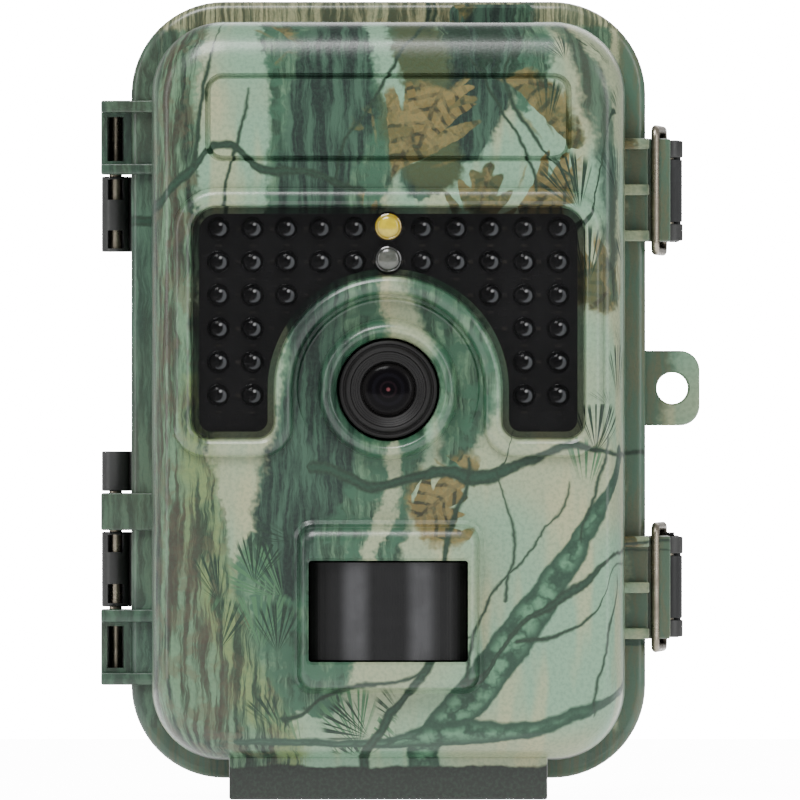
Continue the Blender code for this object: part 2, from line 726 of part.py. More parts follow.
def build_rear_housing(camera, material):
    half = FLANGE_HALF_WIDTH - REAR_INSET
    low = FLANGE_LOW + REAR_INSET
    high = FLANGE_HIGH - REAR_INSET
    radius = FLANGE_RADIUS - REAR_INSET
    case = block((-half, REAR_RIM, low), (half, REAR_BACK, high), radius, 7)
    housing = camera.add("rear_housing", soften(case, "Y", 1, 4.0, 3), material)
    foot = block((-FOOT_HALF_WIDTH, REAR_RIM, 0.0), (FOOT_HALF_WIDTH, FOOT_BACK, 5.0))
    tab = block(
        (41.0, REAR_RIM + 0.1, TAB_Z - TAB_HALF_HEIGHT),
        (TAB_X, 11.9, TAB_Z + TAB_HALF_HEIGHT),
        3.4,
        4,
    )
    ridges = [toothed_ridge(x, z) for x in RIDGE_X for z in RIDGE_LOW]
    camera.join(housing, foot, tab, *strap_bars(), *ridges)
    for low_z, high_z in REAR_KNUCKLES:
        camera.join(housing, rod((HINGE_X, HINGE_Y, low_z), (HINGE_X, HINGE_Y, high_z), KNUCKLE_RADIUS, 16))
        camera.join(housing, block((HINGE_X, REAR_RIM + 0.1, low_z), (-42.5, 10.4, high_z)))
    for height in LATCH_HEIGHTS.values():
        add_ears(camera, housing, height)
    inner = FLANGE_HALF_WIDTH - FLANGE_WALL
    camera.cut(
        housing,
        block(
            (-inner, REAR_RIM - 1.0, FLANGE_LOW + FLANGE_WALL),
            (inner, REAR_BACK - REAR_WALL, FLANGE_HIGH - FLANGE_WALL),
            FLANGE_RADIUS - FLANGE_WALL,
            6,
        ),
    )
    camera.join(housing, rod((0, TRIPOD_Y, 5.0), (0, TRIPOD_Y, 9.2), 6.5, 16))
    camera.cut(
        housing,
        gasket_ring(0.0, REAR_RIM - 0.5, REAR_RIM + 1.2),
        rod((0, TRIPOD_Y, -1.0), (0, TRIPOD_Y, 8.2), 4.5, 20),
        rod((TAB_HOLE_X, 0.0, TAB_Z), (TAB_HOLE_X, 14.0, TAB_Z), TAB_HOLE_RADIUS, 20),
        hinge_bore(93.0, 107.5),
        hinge_bore(32.0, 60.0),
    )
    pin_windows = [pin_window(low_z, high_z, HINGE_Y + 0.9) for low_z, high_z in REAR_PIN_WINDOWS]
    pin_bores = [
        rod((LATCH_X, LATCH_Y, z - 10), (LATCH_X, LATCH_Y, z + 10), LATCH_BORE_RADIUS, 12)
        for z in LATCH_HEIGHTS.values()
    ]
    jack_bore = rod((40.0, JACK_Y, JACK_Z), (46.0, JACK_Y, JACK_Z), 2.9, 16)
    camera.cut(housing, *pin_windows, *pin_bores, jack_bore)
    camera.cut(housing, rod((42.1, JACK_Y, JACK_Z), (46.0, JACK_Y, JACK_Z), 4.9, 20))


def gasket_ring(clearance, front, back):
    """The ring in the rear rim that the gasket lies in."""
    return rim_ring(
        1.05 + clearance,
        1.2 - 2 * clearance,
        front,
        back,
        FLANGE_LOW,
        FLANGE_HIGH,
        FLANGE_HALF_WIDTH,
        FLANGE_RADIUS,
    )


def strap_bars():
    """Two bars on the back that the strap threads under, around the tree."""
    bars = []
    for side in (-1, 1):
        low_x, high_x = sorted(side * x for x in STRAP_BAR_X)
        bar = block((low_x, REAR_BACK - 1.0, STRAP_BAR_LOW), (high_x, TREE_FACE, STRAP_BAR_HIGH))
        slot_low = (low_x - 1.0, REAR_BACK + 0.2, STRAP_BAR_LOW + 3.0)
        slot_high = (high_x + 1.0, TREE_FACE - 3.0, STRAP_BAR_HIGH - 3.0)
        slot = block(slot_low, slot_high)
        bars.append(minus(bar, slot))
    return bars


def toothed_ridge(x, low):
    """A ridge on the back with a saw-tooth edge that bites into the bark."""
    outline = [(REAR_BACK - 1.0, low)]
    for i in range(RIDGE_TEETH):
        outline.append((TREE_FACE - 2.0, low + RIDGE_PITCH * i))
        outline.append((TREE_FACE, low + RIDGE_PITCH * (i + 0.5)))
    outline.append((TREE_FACE - 2.0, low + RIDGE_PITCH * RIDGE_TEETH))
    outline.append((REAR_BACK - 1.0, low + RIDGE_PITCH * RIDGE_TEETH))
    shape = bmesh.new()
    face = shape.faces.new([shape.verts.new(Vector((x - 1.5, y, z)) * MM) for y, z in outline])
    grown = bmesh.ops.extrude_face_region(shape, geom=[face])
    moved = [item for item in grown["geom"] if isinstance(item, bmesh.types.BMVert)]
    bmesh.ops.translate(shape, vec=Vector((3.0, 0, 0)) * MM, verts=moved)
    return shape


def add_ears(camera, housing, height):
    """Two ears that hold a latch lever's pin."""
    for side in (-1, 1):
        low, high = sorted((height + side * EAR_INNER, height + side * (LATCH_HALF_HEIGHT - 0.2)))
        camera.join(housing, rod((LATCH_X, LATCH_Y, low), (LATCH_X, LATCH_Y, high), EAR_RADIUS, 14))
        camera.join(housing, block((42.5, 10.8, low), (LATCH_X, 15.2, high)))


def build_rear_fittings(camera, rubber, brass, steel, holder_material, contact_material):
    camera.add("case_gasket", gasket_ring(0.15, REAR_RIM - 0.1, REAR_RIM + 1.0), rubber)
    insert = [(4.2, 7.8), (4.2, 0.0), (3.1, 0.0), (3.1, 7.8)]
    camera.turned("tripod_insert", insert, (0, TRIPOD_Y, 0.1), (0, 0, 1), brass, None, 20, closed=True)
    for name, low, high in (("hinge_pin_upper", 94.0, 119.7), ("hinge_pin_lower", 19.4, 59.4)):
        camera.add(name, rod((HINGE_X, HINGE_Y, low), (HINGE_X, HINGE_Y, high), HINGE_PIN_RADIUS, 12), steel)
    jack = [(3.6, 8.0), (3.6, 0.0), (2.75, 0.0), (2.75, 8.0)]
    jack_place = (JACK_X, JACK_Y, JACK_Z)
    camera.turned("dc_jack", jack, jack_place, (1, 0, 0), holder_material, None, 16, closed=True)
    plug = [(0, 7.6), (4.2, 7.6), (4.6, 7.2), (4.6, 6.1), (2.4, 6.1), (2.4, 0.4), (2.0, 0), (0, 0)]
    camera.turned("dc_plug", plug, (PLUG_X, JACK_Y, JACK_Z), (1, 0, 0), rubber, "plug_pull", 20)
    tray_low = (-HOLDER_HALF_WIDTH, 9.4, 9.8)
    tray_high = (HOLDER_HALF_WIDTH, REAR_BACK - REAR_WALL - GAP, 130.2)
    tray = block(tray_low, tray_high, 1.0, 1)
    holder = camera.add("battery_holder", tray, holder_material)
    inner = HOLDER_HALF_WIDTH - HOLDER_WALL
    camera.cut(holder, *(block((-inner, 8.0, low), (inner, 24.6, high)) for low, high in HOLDER_POCKETS))
    number = 0
    for low, high in HOLDER_POCKETS:
        for z in (low + GAP, high - GAP - 0.6):
            number += 1
            plate = block((-29.5, 12.0, z), (29.5, 22.5, z + 0.6))
            camera.add(f"battery_contact_{number}", plate, contact_material)


def build_cells(camera, material):
    """Eight AA cells in two rows, with the poles turned about from one to the next."""
    profile = [
        (0, CELL_LENGTH),
        (2.75, CELL_LENGTH),
        (2.75, CELL_LENGTH - 1.0),
        (CELL_RADIUS - 0.4, CELL_LENGTH - 1.0),
        (CELL_RADIUS, CELL_LENGTH - 1.4),
        (CELL_RADIUS, 0.3),
        (CELL_RADIUS - 0.3, 0),
        (0, 0),
    ]
    number = 0
    for low in CELL_ROWS:
        for column, x in enumerate(CELL_COLUMNS):
            number += 1
            up = column % 2 == 0
            place = (x, CELL_Y, low if up else low + CELL_LENGTH)
            facing = (0, 0, 1) if up else (0, 0.000001, -1)
            camera.turned(f"cell_{number}", profile, place, facing, material, None, 12)


# Latches


def build_latch(camera, side, height, lever_material, steel):
    """A lever on its pin, and the wire bail that it draws tight over the catch."""
    hinge = f"{side}_latch_hinge"
    bail_hinge = f"{side}_bail_hinge"
    camera.pivot(hinge, (LATCH_X, LATCH_Y, height))
    camera.pivot(bail_hinge, (BAIL_X, BAIL_Y, height), hinge)
    half = LATCH_HALF_HEIGHT - 0.05
    knuckle = EAR_INNER - 0.3
    plate = block((48.2, 16.0, height - half), (50.5, 27.5, height + half), 0.8, 2, "X")
    lever = camera.add(f"latch_lever_{side}", plate, lever_material, hinge)
    barrel = rod((LATCH_X, LATCH_Y, height - knuckle), (LATCH_X, LATCH_Y, height + knuckle), 2.3, 14)
    lug = block((45.9, 18.2, height - half), (48.8, 21.8, height + half))
    camera.join(lever, barrel, lug)
    camera.join(lever, block((46.6, LATCH_Y, height - knuckle), (50.4, 19.0, height + knuckle)))
    camera.cut(
        lever,
        rod((LATCH_X, LATCH_Y, height - 12), (LATCH_X, LATCH_Y, height + 12), LATCH_BORE_RADIUS, 12),
        rod((BAIL_X, BAIL_Y, height + 6.8), (BAIL_X, BAIL_Y, height + 12), BAIL_RADIUS + 0.2, 12),
        rod((BAIL_X, BAIL_Y, height - 12), (BAIL_X, BAIL_Y, height - 6.8), BAIL_RADIUS + 0.2, 12),
    )
    pin_half = LATCH_HALF_HEIGHT - 0.3
    pin_low = (LATCH_X, LATCH_Y, height - pin_half)
    pin_high = (LATCH_X, LATCH_Y, height + pin_half)
    pin = rod(pin_low, pin_high, LATCH_PIN_RADIUS, 12)
    camera.add(f"latch_pin_{side}", pin, steel)
    build_bail(camera, side, height, bail_hinge, steel)


def build_bail(camera, side, height, pivot, steel):
    """A steel wire loop: both ends turn inwards into the lever, and its far run lies before the catch."""
    bend = 1.6
    reach = BAIL_HALF_HEIGHT
    run = Vector((BAIL_FRONT_X - BAIL_X, BAIL_FRONT_Y - BAIL_Y, 0)).normalized()
    back = Vector((BAIL_X, BAIL_Y, 0))
    front = Vector((BAIL_FRONT_X, BAIL_FRONT_Y, 0))
    half = [back + Vector((0, 0, 7.3)), back + Vector((0, 0, reach - bend))]
    half += corner(back + Vector((0, 0, reach)), Vector((0, 0, 1)), run, bend)
    half += corner(front + Vector((0, 0, reach)), run, Vector((0, 0, -1)), bend)
    path = half + [Vector((p.x, p.y, -p.z)) for p in reversed(half)]
    curve = bpy.data.curves.new(f"latch_bail_{side}", "CURVE")
    curve.dimensions = "3D"
    curve.bevel_depth = BAIL_RADIUS * MM
    curve.bevel_resolution = 2
    curve.use_fill_caps = True
    spline = curve.splines.new("POLY")
    spline.points.add(len(path) - 1)
    for point, place in zip(spline.points, path):
        point.co = (*((place + Vector((0, 0, height))) * MM), 1.0)
    curve.materials.append(steel)
    bail = bpy.data.objects.new(f"latch_bail_{side}", curve)
    camera.parts.objects.link(bail)
    camera.hang(bail, pivot)


def corner(point, before, after, bend):
    """The points of a round bend in the wire at a corner, between its two straight directions."""
    steps = 4
    centre = point - before * bend + after * bend
    points = []
    for i in range(steps + 1):
        angle = math.pi / 2 * i / steps
        points.append(centre - after * bend * math.cos(angle) + before * bend * math.sin(angle))
    return points


def main():
    clear_scene()
    camera = Camera()
    camera.pivot("cover_hinge", (HINGE_X, HINGE_Y, 0.0))
    camera.pivot("filter_slide", (0.0, -14.0, LENS_Z), "cover_hinge")
    camera.pivot("switch_slide", (SWITCH_X, 0.0, SWITCH_Z), "cover_hinge")
    camera.pivot("card_slide", (CARD_X, -1.8, CARD_Z), "cover_hinge")
    camera.pivot("plug_pull", (PLUG_X, JACK_Y, JACK_Z))

    camouflage = plastic("camouflage_print", (0.20, 0.25, 0.18), 0.45)
    black = plastic("black_plastic", (0.03, 0.03, 0.033), 0.5)
    dark_grey = plastic("dark_grey_plastic", (0.08, 0.082, 0.085), 0.45)
    window = plastic("smoked_window", (0.012, 0.012, 0.013), 0.12)
    board = plastic("circuit_board", (0.02, 0.11, 0.05), 0.5)
    yellow = plastic("yellow_indicator", (0.55, 0.45, 0.10), 0.3)
    clear = plastic("clear_dome", (0.35, 0.36, 0.33), 0.15)
    glass = plastic("coated_glass", (0.01, 0.01, 0.012), 0.05)
    filter_glass = plastic("filter_glass", (0.20, 0.05, 0.06), 0.1)
    fresnel = plastic("fresnel_plastic", (0.06, 0.06, 0.062), 0.4)
    steel = plastic("steel", (0.62, 0.61, 0.58), 0.3, 1.0)
    can = plastic("nickel_plate", (0.66, 0.65, 0.6), 0.25, 1.0)
    brass = plastic("brass", (0.75, 0.56, 0.25), 0.3, 1.0)
    rubber = plastic("rubber", (0.02, 0.02, 0.02), 0.8)
    keys = plastic("key_rubber", (0.25, 0.26, 0.27), 0.6)
    card = plastic("card_plastic", (0.04, 0.06, 0.16), 0.4)
    cell = plastic("cell_sleeve", (0.05, 0.14, 0.30), 0.3)

    build_front_shell(camera, camouflage)
    build_led_window(camera, window)
    build_led_board(camera, board)
    build_dots(camera, yellow, clear)
    build_lens(camera, dark_grey, glass)
    build_lens_holder(camera, black, filter_glass, board)
    build_motion_sensor(camera, fresnel, can, board)
    build_main_board(camera, board, can)
    build_inner_panel(camera, dark_grey)
    build_display(camera, black, window)
    build_keypad(camera, keys)
    build_switch(camera, black)
    build_card(camera, card, can)
    build_panel_screws(camera, steel)
    build_rear_housing(camera, black)
    build_rear_fittings(camera, rubber, brass, steel, dark_grey, can)
    build_cells(camera, cell)
    for side, height in LATCH_HEIGHTS.items():
        build_latch(camera, side, height, dark_grey, steel)


main()
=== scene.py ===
"""Trail camera: detailed shells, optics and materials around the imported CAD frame."""

import json
import math

import bmesh
import bpy
from mathutils import Matrix, Vector

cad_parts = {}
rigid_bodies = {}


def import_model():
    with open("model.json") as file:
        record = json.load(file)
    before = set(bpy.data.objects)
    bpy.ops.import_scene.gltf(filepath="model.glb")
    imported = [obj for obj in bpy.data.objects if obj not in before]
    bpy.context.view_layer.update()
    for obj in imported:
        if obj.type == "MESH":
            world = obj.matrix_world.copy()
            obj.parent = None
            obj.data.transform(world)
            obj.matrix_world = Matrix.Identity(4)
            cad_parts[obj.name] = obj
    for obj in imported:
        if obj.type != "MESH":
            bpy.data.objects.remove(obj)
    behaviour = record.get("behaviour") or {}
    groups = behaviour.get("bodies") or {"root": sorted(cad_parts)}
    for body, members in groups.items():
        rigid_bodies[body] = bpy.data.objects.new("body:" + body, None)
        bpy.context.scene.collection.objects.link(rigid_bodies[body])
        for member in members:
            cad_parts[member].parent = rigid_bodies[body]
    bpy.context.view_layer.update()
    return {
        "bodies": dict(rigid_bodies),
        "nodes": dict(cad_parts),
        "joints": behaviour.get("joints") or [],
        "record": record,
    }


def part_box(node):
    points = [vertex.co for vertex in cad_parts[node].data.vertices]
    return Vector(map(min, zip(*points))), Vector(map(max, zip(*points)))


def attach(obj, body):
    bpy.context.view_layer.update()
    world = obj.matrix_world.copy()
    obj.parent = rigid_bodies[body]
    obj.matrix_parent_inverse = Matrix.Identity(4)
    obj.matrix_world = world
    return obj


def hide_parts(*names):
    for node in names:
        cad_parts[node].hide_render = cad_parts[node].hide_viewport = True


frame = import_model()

MM = 0.001
FRONT = "front_half"
REAR = "rear_half"


def middle(node, axis):
    """The middle of a CAD node along one axis, in millimetres."""
    low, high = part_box(node)
    return (low[axis] + high[axis]) / 2 / MM


def side(node, axis, end):
    """The lowest (0) or highest (1) place of a CAD node along one axis, in millimetres."""
    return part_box(node)[end][axis] / MM


# Driving places, read from the frame. All shape sizes below are millimetres.
LENS_Z = middle("lens_barrel", 2)
HINGE_X = middle("hinge_pin_upper", 0)
HINGE_Y = middle("hinge_pin_upper", 1)
LATCHES = {name: middle(f"latch_lever_{name}", 2) for name in ("upper", "lower")}
LATCH_X = middle("latch_pin_upper", 0)
LATCH_Y = middle("latch_pin_upper", 1)
STATUS_Z = middle("status_led", 2)
SENSOR_Z = middle("light_sensor", 2)
TAB_X = 46.8
TAB_Z = 70.35
TAB_HOLE_X = 48.9
HINGE_BORE = 1.25
LATCH_BORE = 0.95
EAR_BORE = 0.96
BAIL_PIVOT = (47.5, 20.0)
FLANGE_HALF = 44.2
FLANGE_LOW = 3.3
FLANGE_HIGH = 136.8
FLANGE_RADIUS = 16.0
FLANGE_FRONT = -2.0
FRONT_RIM = 7.9
REAR_RIM = 8.2
BODY_HALF = 40.7
BODY_LOW = 6.4
BODY_HIGH = 133.3
BODY_RADIUS = 12.5
BODY_FACE = -31.5
WALL = 2.5
FLANGE_WALL = 3.0
LATCH_HALF_HEIGHT = 8.85
WINDOW_FLOOR = -30.2
LED_BOARD_FACE = -28.7
LED_PITCH_X = 5.8
LED_PITCH_Z = 5.7
LED_LOW = 69.1
LED_FIRST_COLUMNS = (4, 4, 4, 3, 1, 1)
FOOT_HALF = 27.2
FLANGE_SIDE = 42.5
FRONT_BRACKETS = (
    (107.1, 119.8, ((117.7, 119.8), (107.1, 108.9))),
    (45.9, 52.3, ((45.9, 52.3),)),
    (19.3, 32.3, ((30.1, 32.3), (19.3, 21.4))),
)
FRONT_PIN_GAPS = ((109.4, 117.0), (22.2, 29.4))
REAR_KNUCKLES = ((93.8, 106.8), (52.6, 59.5), (32.7, 45.6))
REAR_PIN_GAPS = ((102.8, 106.3), (94.4, 97.5), (42.1, 45.1), (33.3, 36.6))
SCREW_POSTS = [(x, z) for x in (-33.5, 33.5) for z in (14.0, 125.8)]
TREE_FACE = side("rear_housing", 1, 1)
REAR_BACK = TREE_FACE - 8.0
TRIPOD_Y = middle("tripod_insert", 1)
JACK_Y = middle("dc_jack", 1)
JACK_Z = middle("dc_jack", 2)
CELL_Y = middle("cell_1", 1)
CELL_LENGTH = 50.5
CELL_LOWS = (14.8, 74.6)
CELL_BAYS = ((11.0, 69.2), (70.8, 129.0))
CELL_COLUMNS = [middle(f"cell_{number}", 0) for number in (1, 2, 3, 4)]
CARD_X = middle("sd_card", 0)
SCREWS = [(middle(f"panel_screw_{number}", 0), middle(f"panel_screw_{number}", 2)) for number in (1, 2, 3, 4)]
BUTTONS = {name: (middle(name, 0), middle(name, 2)) for name in frame["nodes"] if name.startswith("button_")}

# Studio, in metres and watts
KEY_POWER = 32.0
FILL_POWER = 7.0
SIDE_POWER = 5.0
RIM_POWER = 8.0
SURROUND_LIGHT = 0.5
SURROUND_SEEN = 20.0
FLOOR_RADIUS = 700.0
FLOOR_GLOW = 0.8
FLOOR_SEEN = 12.0
CAMERA_DISTANCE = 4.0
VIEW_WIDTH = 0.1376
VIEW_X = 0.002
VIEW_Z = 0.0683


# Shapes: closed surfaces in millimetres, made into metres when they become objects


def arc_points(cx, cz, radius, start, end, steps, y):
    """Points on an arc in the XZ plane at depth y, between two angles in degrees."""
    points = []
    for i in range(steps + 1):
        angle = math.radians(start + (end - start) * i / steps)
        points.append((cx + radius * math.cos(angle), y, cz + radius * math.sin(angle)))
    return points


def rounded_ring(half, low, high, radius, y, segments=10, centre=0.0):
    """A rounded rectangle in the XZ plane at depth y."""
    points = []
    for cx, cz, start in (
        (half - radius, high - radius, 0),
        (radius - half, high - radius, 90),
        (radius - half, low + radius, 180),
        (half - radius, low + radius, 270),
    ):
        points += arc_points(centre + cx, cz, radius, start, start + 90, segments, y)
    return points


def circle(radius, y, z, segments=64, x=0.0):
    """A circle in the XZ plane at depth y."""
    points = []
    for i in range(segments):
        angle = math.tau * i / segments
        points.append((radius * math.cos(angle) + x, y, z + radius * math.sin(angle)))
    return points


def arch_ring(grow, y):
    """The LED window's outline at depth y, grown outwards by some millimetres: an arch over the lens."""
    half = 33.6 + grow
    low = 61.6 - grow
    high = 101.4 + grow
    arc = 19.3 - grow
    top = 4.4 + grow
    foot = 3.1 + grow * 0.8
    points = []
    corners = (
        (half - top, high - top, top, 0, 90),
        (top - half, high - top, top, 90, 180),
        (foot - half, low + foot, foot, 180, 270),
        (-arc - foot, low + foot, foot, 270, 360),
    )
    for cx, cz, radius, start, end in corners:
        points += arc_points(cx, cz, radius, start, end, 8, y)
    points += arc_points(0.0, LENS_Z, arc, 180, 0, 40, y)
    for cx, cz, radius, start, end in (
        (arc + foot, low + foot, foot, 180, 270),
        (half - foot, low + foot, foot, 270, 360),
    ):
        points += arc_points(cx, cz, radius, start, end, 8, y)
    return points


def loft(rings, closed=False):
    """A closed surface through rings of equal length: capped at both ends, or joined round when closed."""
    shape = bmesh.new()
    rows = [[shape.verts.new(Vector(p) * MM) for p in ring] for ring in rings]
    pairs = list(zip(rows, rows[1:]))
    if closed:
        pairs.append((rows[-1], rows[0]))
    for first, second in pairs:
        count = len(first)
        for i in range(count):
            j = (i + 1) % count
            shape.faces.new((first[i], first[j], second[j], second[i]))
    if not closed:
        shape.faces.new(rows[0])
        shape.faces.new(rows[-1])
    bmesh.ops.recalc_face_normals(shape, faces=shape.faces)
    return shape


def stack(sections, segments, closed=False):
    """A loft of rounded rectangles given as (half width, low, high, radius, y)."""
    return loft([rounded_ring(*section, segments) for section in sections], closed)


def quarter(radius, steps):
    """(inward, along) offsets around a quarter-round edge."""
    turns = [math.pi / 2 * i / steps for i in range(steps + 1)]
    return [(radius * (1.0 - math.cos(turn)), radius * math.sin(turn)) for turn in turns]


def crown(radius, base, rise, turns):
    """Profile points over a dome, at some angles above its rim."""
    return [(radius * math.cos(turn), base + rise * math.sin(turn)) for turn in turns]


def block(low, high, bevel=0.0, segments=2):
    """A box between two corners with all its edges rounded."""
    shape = bmesh.new()
    bmesh.ops.create_cube(shape, size=1.0)
    size = Vector(b - a for a, b in zip(low, high)) * MM
    centre = Vector((a + b) / 2 for a, b in zip(low, high)) * MM
    bmesh.ops.scale(shape, vec=size, verts=shape.verts)
    bmesh.ops.translate(shape, vec=centre, verts=shape.verts)
    if bevel:
        round_off(shape, list(shape.edges), bevel, segments)
    return shape


def round_off(shape, edges, bevel, segments=2):
    """Rounds some edges of a shape."""
    bmesh.ops.bevel(shape, geom=edges, offset=bevel * MM, segments=segments, profile=0.5, affect="EDGES")


def rod(start, end, radius, sides, bevel=0.0, end_radius=None):
    """A cylinder or cone along X, Y or Z with rounded rims."""
    shape = bmesh.new()
    first = Vector(start) * MM
    last = Vector(end) * MM
    bmesh.ops.create_cone(
        shape,
        cap_ends=True,
        segments=sides,
        radius1=radius * MM,
        radius2=(radius if end_radius is None else end_radius) * MM,
        depth=(last - first).length,
    )
    if bevel:
        caps = [face for face in shape.faces if len(face.verts) > 4]
        rims = dict.fromkeys(edge for face in caps for edge in face.edges)
        round_off(shape, list(rims), bevel)
    turn = Vector((0, 0, 1)).rotation_difference(last - first).to_matrix().to_4x4()
    bmesh.ops.transform(shape, matrix=Matrix.Translation((first + last) / 2) @ turn, verts=shape.verts)
    return shape


def turned(profile, place, facing, steps):
    """Turns a closed or axis-to-axis profile of (radius, height) about an axis through a place."""
    shape = bmesh.new()
    rows = []
    for radius, height in profile:
        if radius < 1e-6:
            rows.append([shape.verts.new((0, 0, height * MM))])
            continue
        row = []
        for i in range(steps):
            angle = math.tau * i / steps
            place_on = Vector((radius * math.cos(angle), radius * math.sin(angle), height)) * MM
            row.append(shape.verts.new(place_on))
        rows.append(row)
    loop = list(zip(rows, rows[1:]))
    if profile[0][0] > 1e-6:
        loop.append((rows[-1], rows[0]))
    for first, second in loop:
        for i in range(steps):
            j = (i + 1) % steps
            corners = [first[i % len(first)], first[j % len(first)]]
            corners += [second[j % len(second)], second[i % len(second)]]
            unique = list(dict.fromkeys(corners))
            if len(unique) > 2:
                shape.faces.new(unique)
    turn = Vector((0, 0, 1)).rotation_difference(Vector(facing)).to_matrix().to_4x4()
    bmesh.ops.transform(shape, matrix=Matrix.Translation(Vector(place) * MM) @ turn, verts=shape.verts)
    bmesh.ops.recalc_face_normals(shape, faces=shape.faces)
    return shape


def together(*shapes):
    """Gathers shapes into one mesh."""
    total = bmesh.new()
    for shape in shapes:
        mesh = bpy.data.meshes.new("gathered")
        shape.to_mesh(mesh)
        shape.free()
        total.from_mesh(mesh)
        bpy.data.meshes.remove(mesh)
    return total


def passing(shape):
    """A passing object that holds a shape while a Boolean reads it."""
    bmesh.ops.recalc_face_normals(shape, faces=shape.faces)
    mesh = bpy.data.meshes.new("passing")
    shape.to_mesh(mesh)
    shape.free()
    held = bpy.data.objects.new("passing", mesh)
    bpy.context.scene.collection.objects.link(held)
    return held


def combine(base, steps):
    """Applies a list of ("UNION" or "DIFFERENCE", shape) steps to a shape, one after another."""
    target = passing(base)
    tools = []
    for operation, shape in steps:
        tool = passing(shape)
        tools.append(tool)
        step = target.modifiers.new("step", "BOOLEAN")
        step.operation = operation
        step.solver = "EXACT"
        step.object = tool
    graph = bpy.context.evaluated_depsgraph_get()
    result = bmesh.new()
    result.from_mesh(target.evaluated_get(graph).to_mesh())
    for held in [target, *tools]:
        mesh = held.data
        bpy.data.objects.remove(held, do_unlink=True)
        bpy.data.meshes.remove(mesh)
    bmesh.ops.remove_doubles(result, verts=result.verts, dist=1e-7)
    bmesh.ops.dissolve_degenerate(result, edges=result.edges, dist=1e-7)
    return result


def piece(name, shape, material, body, replaces, sharp=32.0):
    """Makes an object of a shape, shades it, and puts it on its body."""
    mesh = bpy.data.meshes.new(name)
    shape.to_mesh(mesh)
    shape.free()
    mesh.shade_smooth()
    mesh.set_sharp_from_angle(angle=math.radians(sharp))
    mesh.materials.append(material)
    made = bpy.data.objects.new(name, mesh)
    bpy.context.scene.collection.objects.link(made)
    normals = made.modifiers.new("weighted_normals", "WEIGHTED_NORMAL")
    normals.keep_sharp = True
    normals.weight = 90
    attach(made, body)
    if replaces:
        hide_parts(*replaces)


def union(*shapes):
    """Steps for combine that add shapes."""
    return [("UNION", shape) for shape in shapes]


def cut(*shapes):
    """Steps for combine that take shapes away."""
    return [("DIFFERENCE", shape) for shape in shapes]


# Front half of the case


def body_form():
    """The deep front body: drafted walls, a broad curved shoulder at the top and tighter ones elsewhere."""
    sections = [
        (BODY_HALF, BODY_LOW, BODY_HIGH, BODY_RADIUS, 0.5),
        (BODY_HALF - 0.1, BODY_LOW + 0.1, BODY_HIGH - 0.1, BODY_RADIUS - 0.1, -8.0),
    ]
    shoulder = 6.5
    for inward, depth in quarter(1.0, 10):
        half = BODY_HALF - 0.6 - 3.6 * inward
        low = BODY_LOW + 0.6 + 4.6 * inward
        high = BODY_HIGH - 0.5 - 7.6 * inward
        radius = BODY_RADIUS - 0.5 - 2.6 * inward
        sections.append((half, low, high, radius, BODY_FACE + shoulder - shoulder * depth))
    return stack(sections, 14)


def ring_offset(inset):
    """The flange outline moved inwards: (half width, low, high, radius)."""
    return (FLANGE_HALF - inset, FLANGE_LOW + inset, FLANGE_HIGH - inset, FLANGE_RADIUS - inset)


def flange_form():
    """The flange that carries the seal, with a rounded front edge."""
    sections = [(*ring_offset(0.25), FRONT_RIM), (*ring_offset(0.0), FRONT_RIM - 0.3)]
    radius = 1.5
    for inward, along in quarter(radius, 5):
        sections.append((*ring_offset(inward), FLANGE_FRONT + radius - along))
    return stack(sections, 16)


def bezel_form():
    """The raised rim around the LED window, before the window's pocket is cut from it."""
    profile = ((3.1, -30.8), (3.1, -31.9), (2.95, -32.4), (2.6, -32.85), (2.1, -33.15), (1.5, -33.3))
    return loft([arch_ring(grow, y) for grow, y in (*profile, (-1.0, -33.3))])


def pocket_cut():
    """The window's pocket, flared at its mouth so that the rim is round inside too."""
    profile = [(0.0, WINDOW_FLOOR), (0.0, -32.5), (0.1, -32.8), (0.35, -33.1), (0.8, -33.28), (1.2, -33.6)]
    return loft([arch_ring(grow, y) for grow, y in profile])


def ledge_cut():
    """The opening behind the window, smaller than its pocket so that a ledge is left to hold it."""
    return loft([arch_ring(-1.3, y) for y in (WINDOW_FLOOR - 0.6, BODY_FACE + WALL + 1.0)])


def lens_ring_form():
    """The raised ring around the lens: a round outer shoulder and a funnel towards the lens."""
    profile = [
        (8.7, -29.5), (12.1, -29.5), (12.05, -32.0), (11.9, -33.2), (11.6, -34.1), (11.1, -34.7),
        (10.55, -34.98), (10.1, -34.95), (9.75, -34.75), (9.3, -34.1), (8.95, -33.5),
        (8.8, -33.1), (8.7, -32.6),
    ]
    return loft([circle(radius, y, LENS_Z) for radius, y in profile], closed=True)


def annulus_cut():
    """A shallow dished ring around the lens: deep at the top and running out at the bottom."""
    tilt = 1.9
    mouth = -36.0
    profile = ((11.0, -30.0), (14.9, -30.0), (15.35, -30.15), (15.7, -30.6), (16.0, mouth), (11.0, mouth))
    rings = []
    for radius, y in profile:
        ring = []
        for x, depth, z in circle(radius, y, LENS_Z):
            lean = tilt * (1.0 - (z - LENS_Z + 16.0) / 32.0) if y > mouth else 0.0
            ring.append((x, depth - lean, z))
        rings.append(ring)
    return loft(rings, closed=True)


def hood_form():
    """The soft-edged housing of the motion sensor, thicker at its brow."""
    sections = [
        (16.6, 17.8, 48.2, 3.6, -30.5),
        (16.2, 18.2, 47.8, 3.3, -31.7),
        (15.6, 18.6, 47.1, 2.9, -32.2),
        (15.3, 18.9, 46.8, 2.7, -33.4),
    ]
    for inward, depth in quarter(1.0, 7)[1:]:
        outline = (15.3 - 1.3 * inward, 18.9 + 1.7 * inward, 46.8 - 2.6 * inward, 2.7 - 0.7 * inward)
        sections.append((*outline, -33.8 - 2.2 * depth))
    return stack(sections, 8)


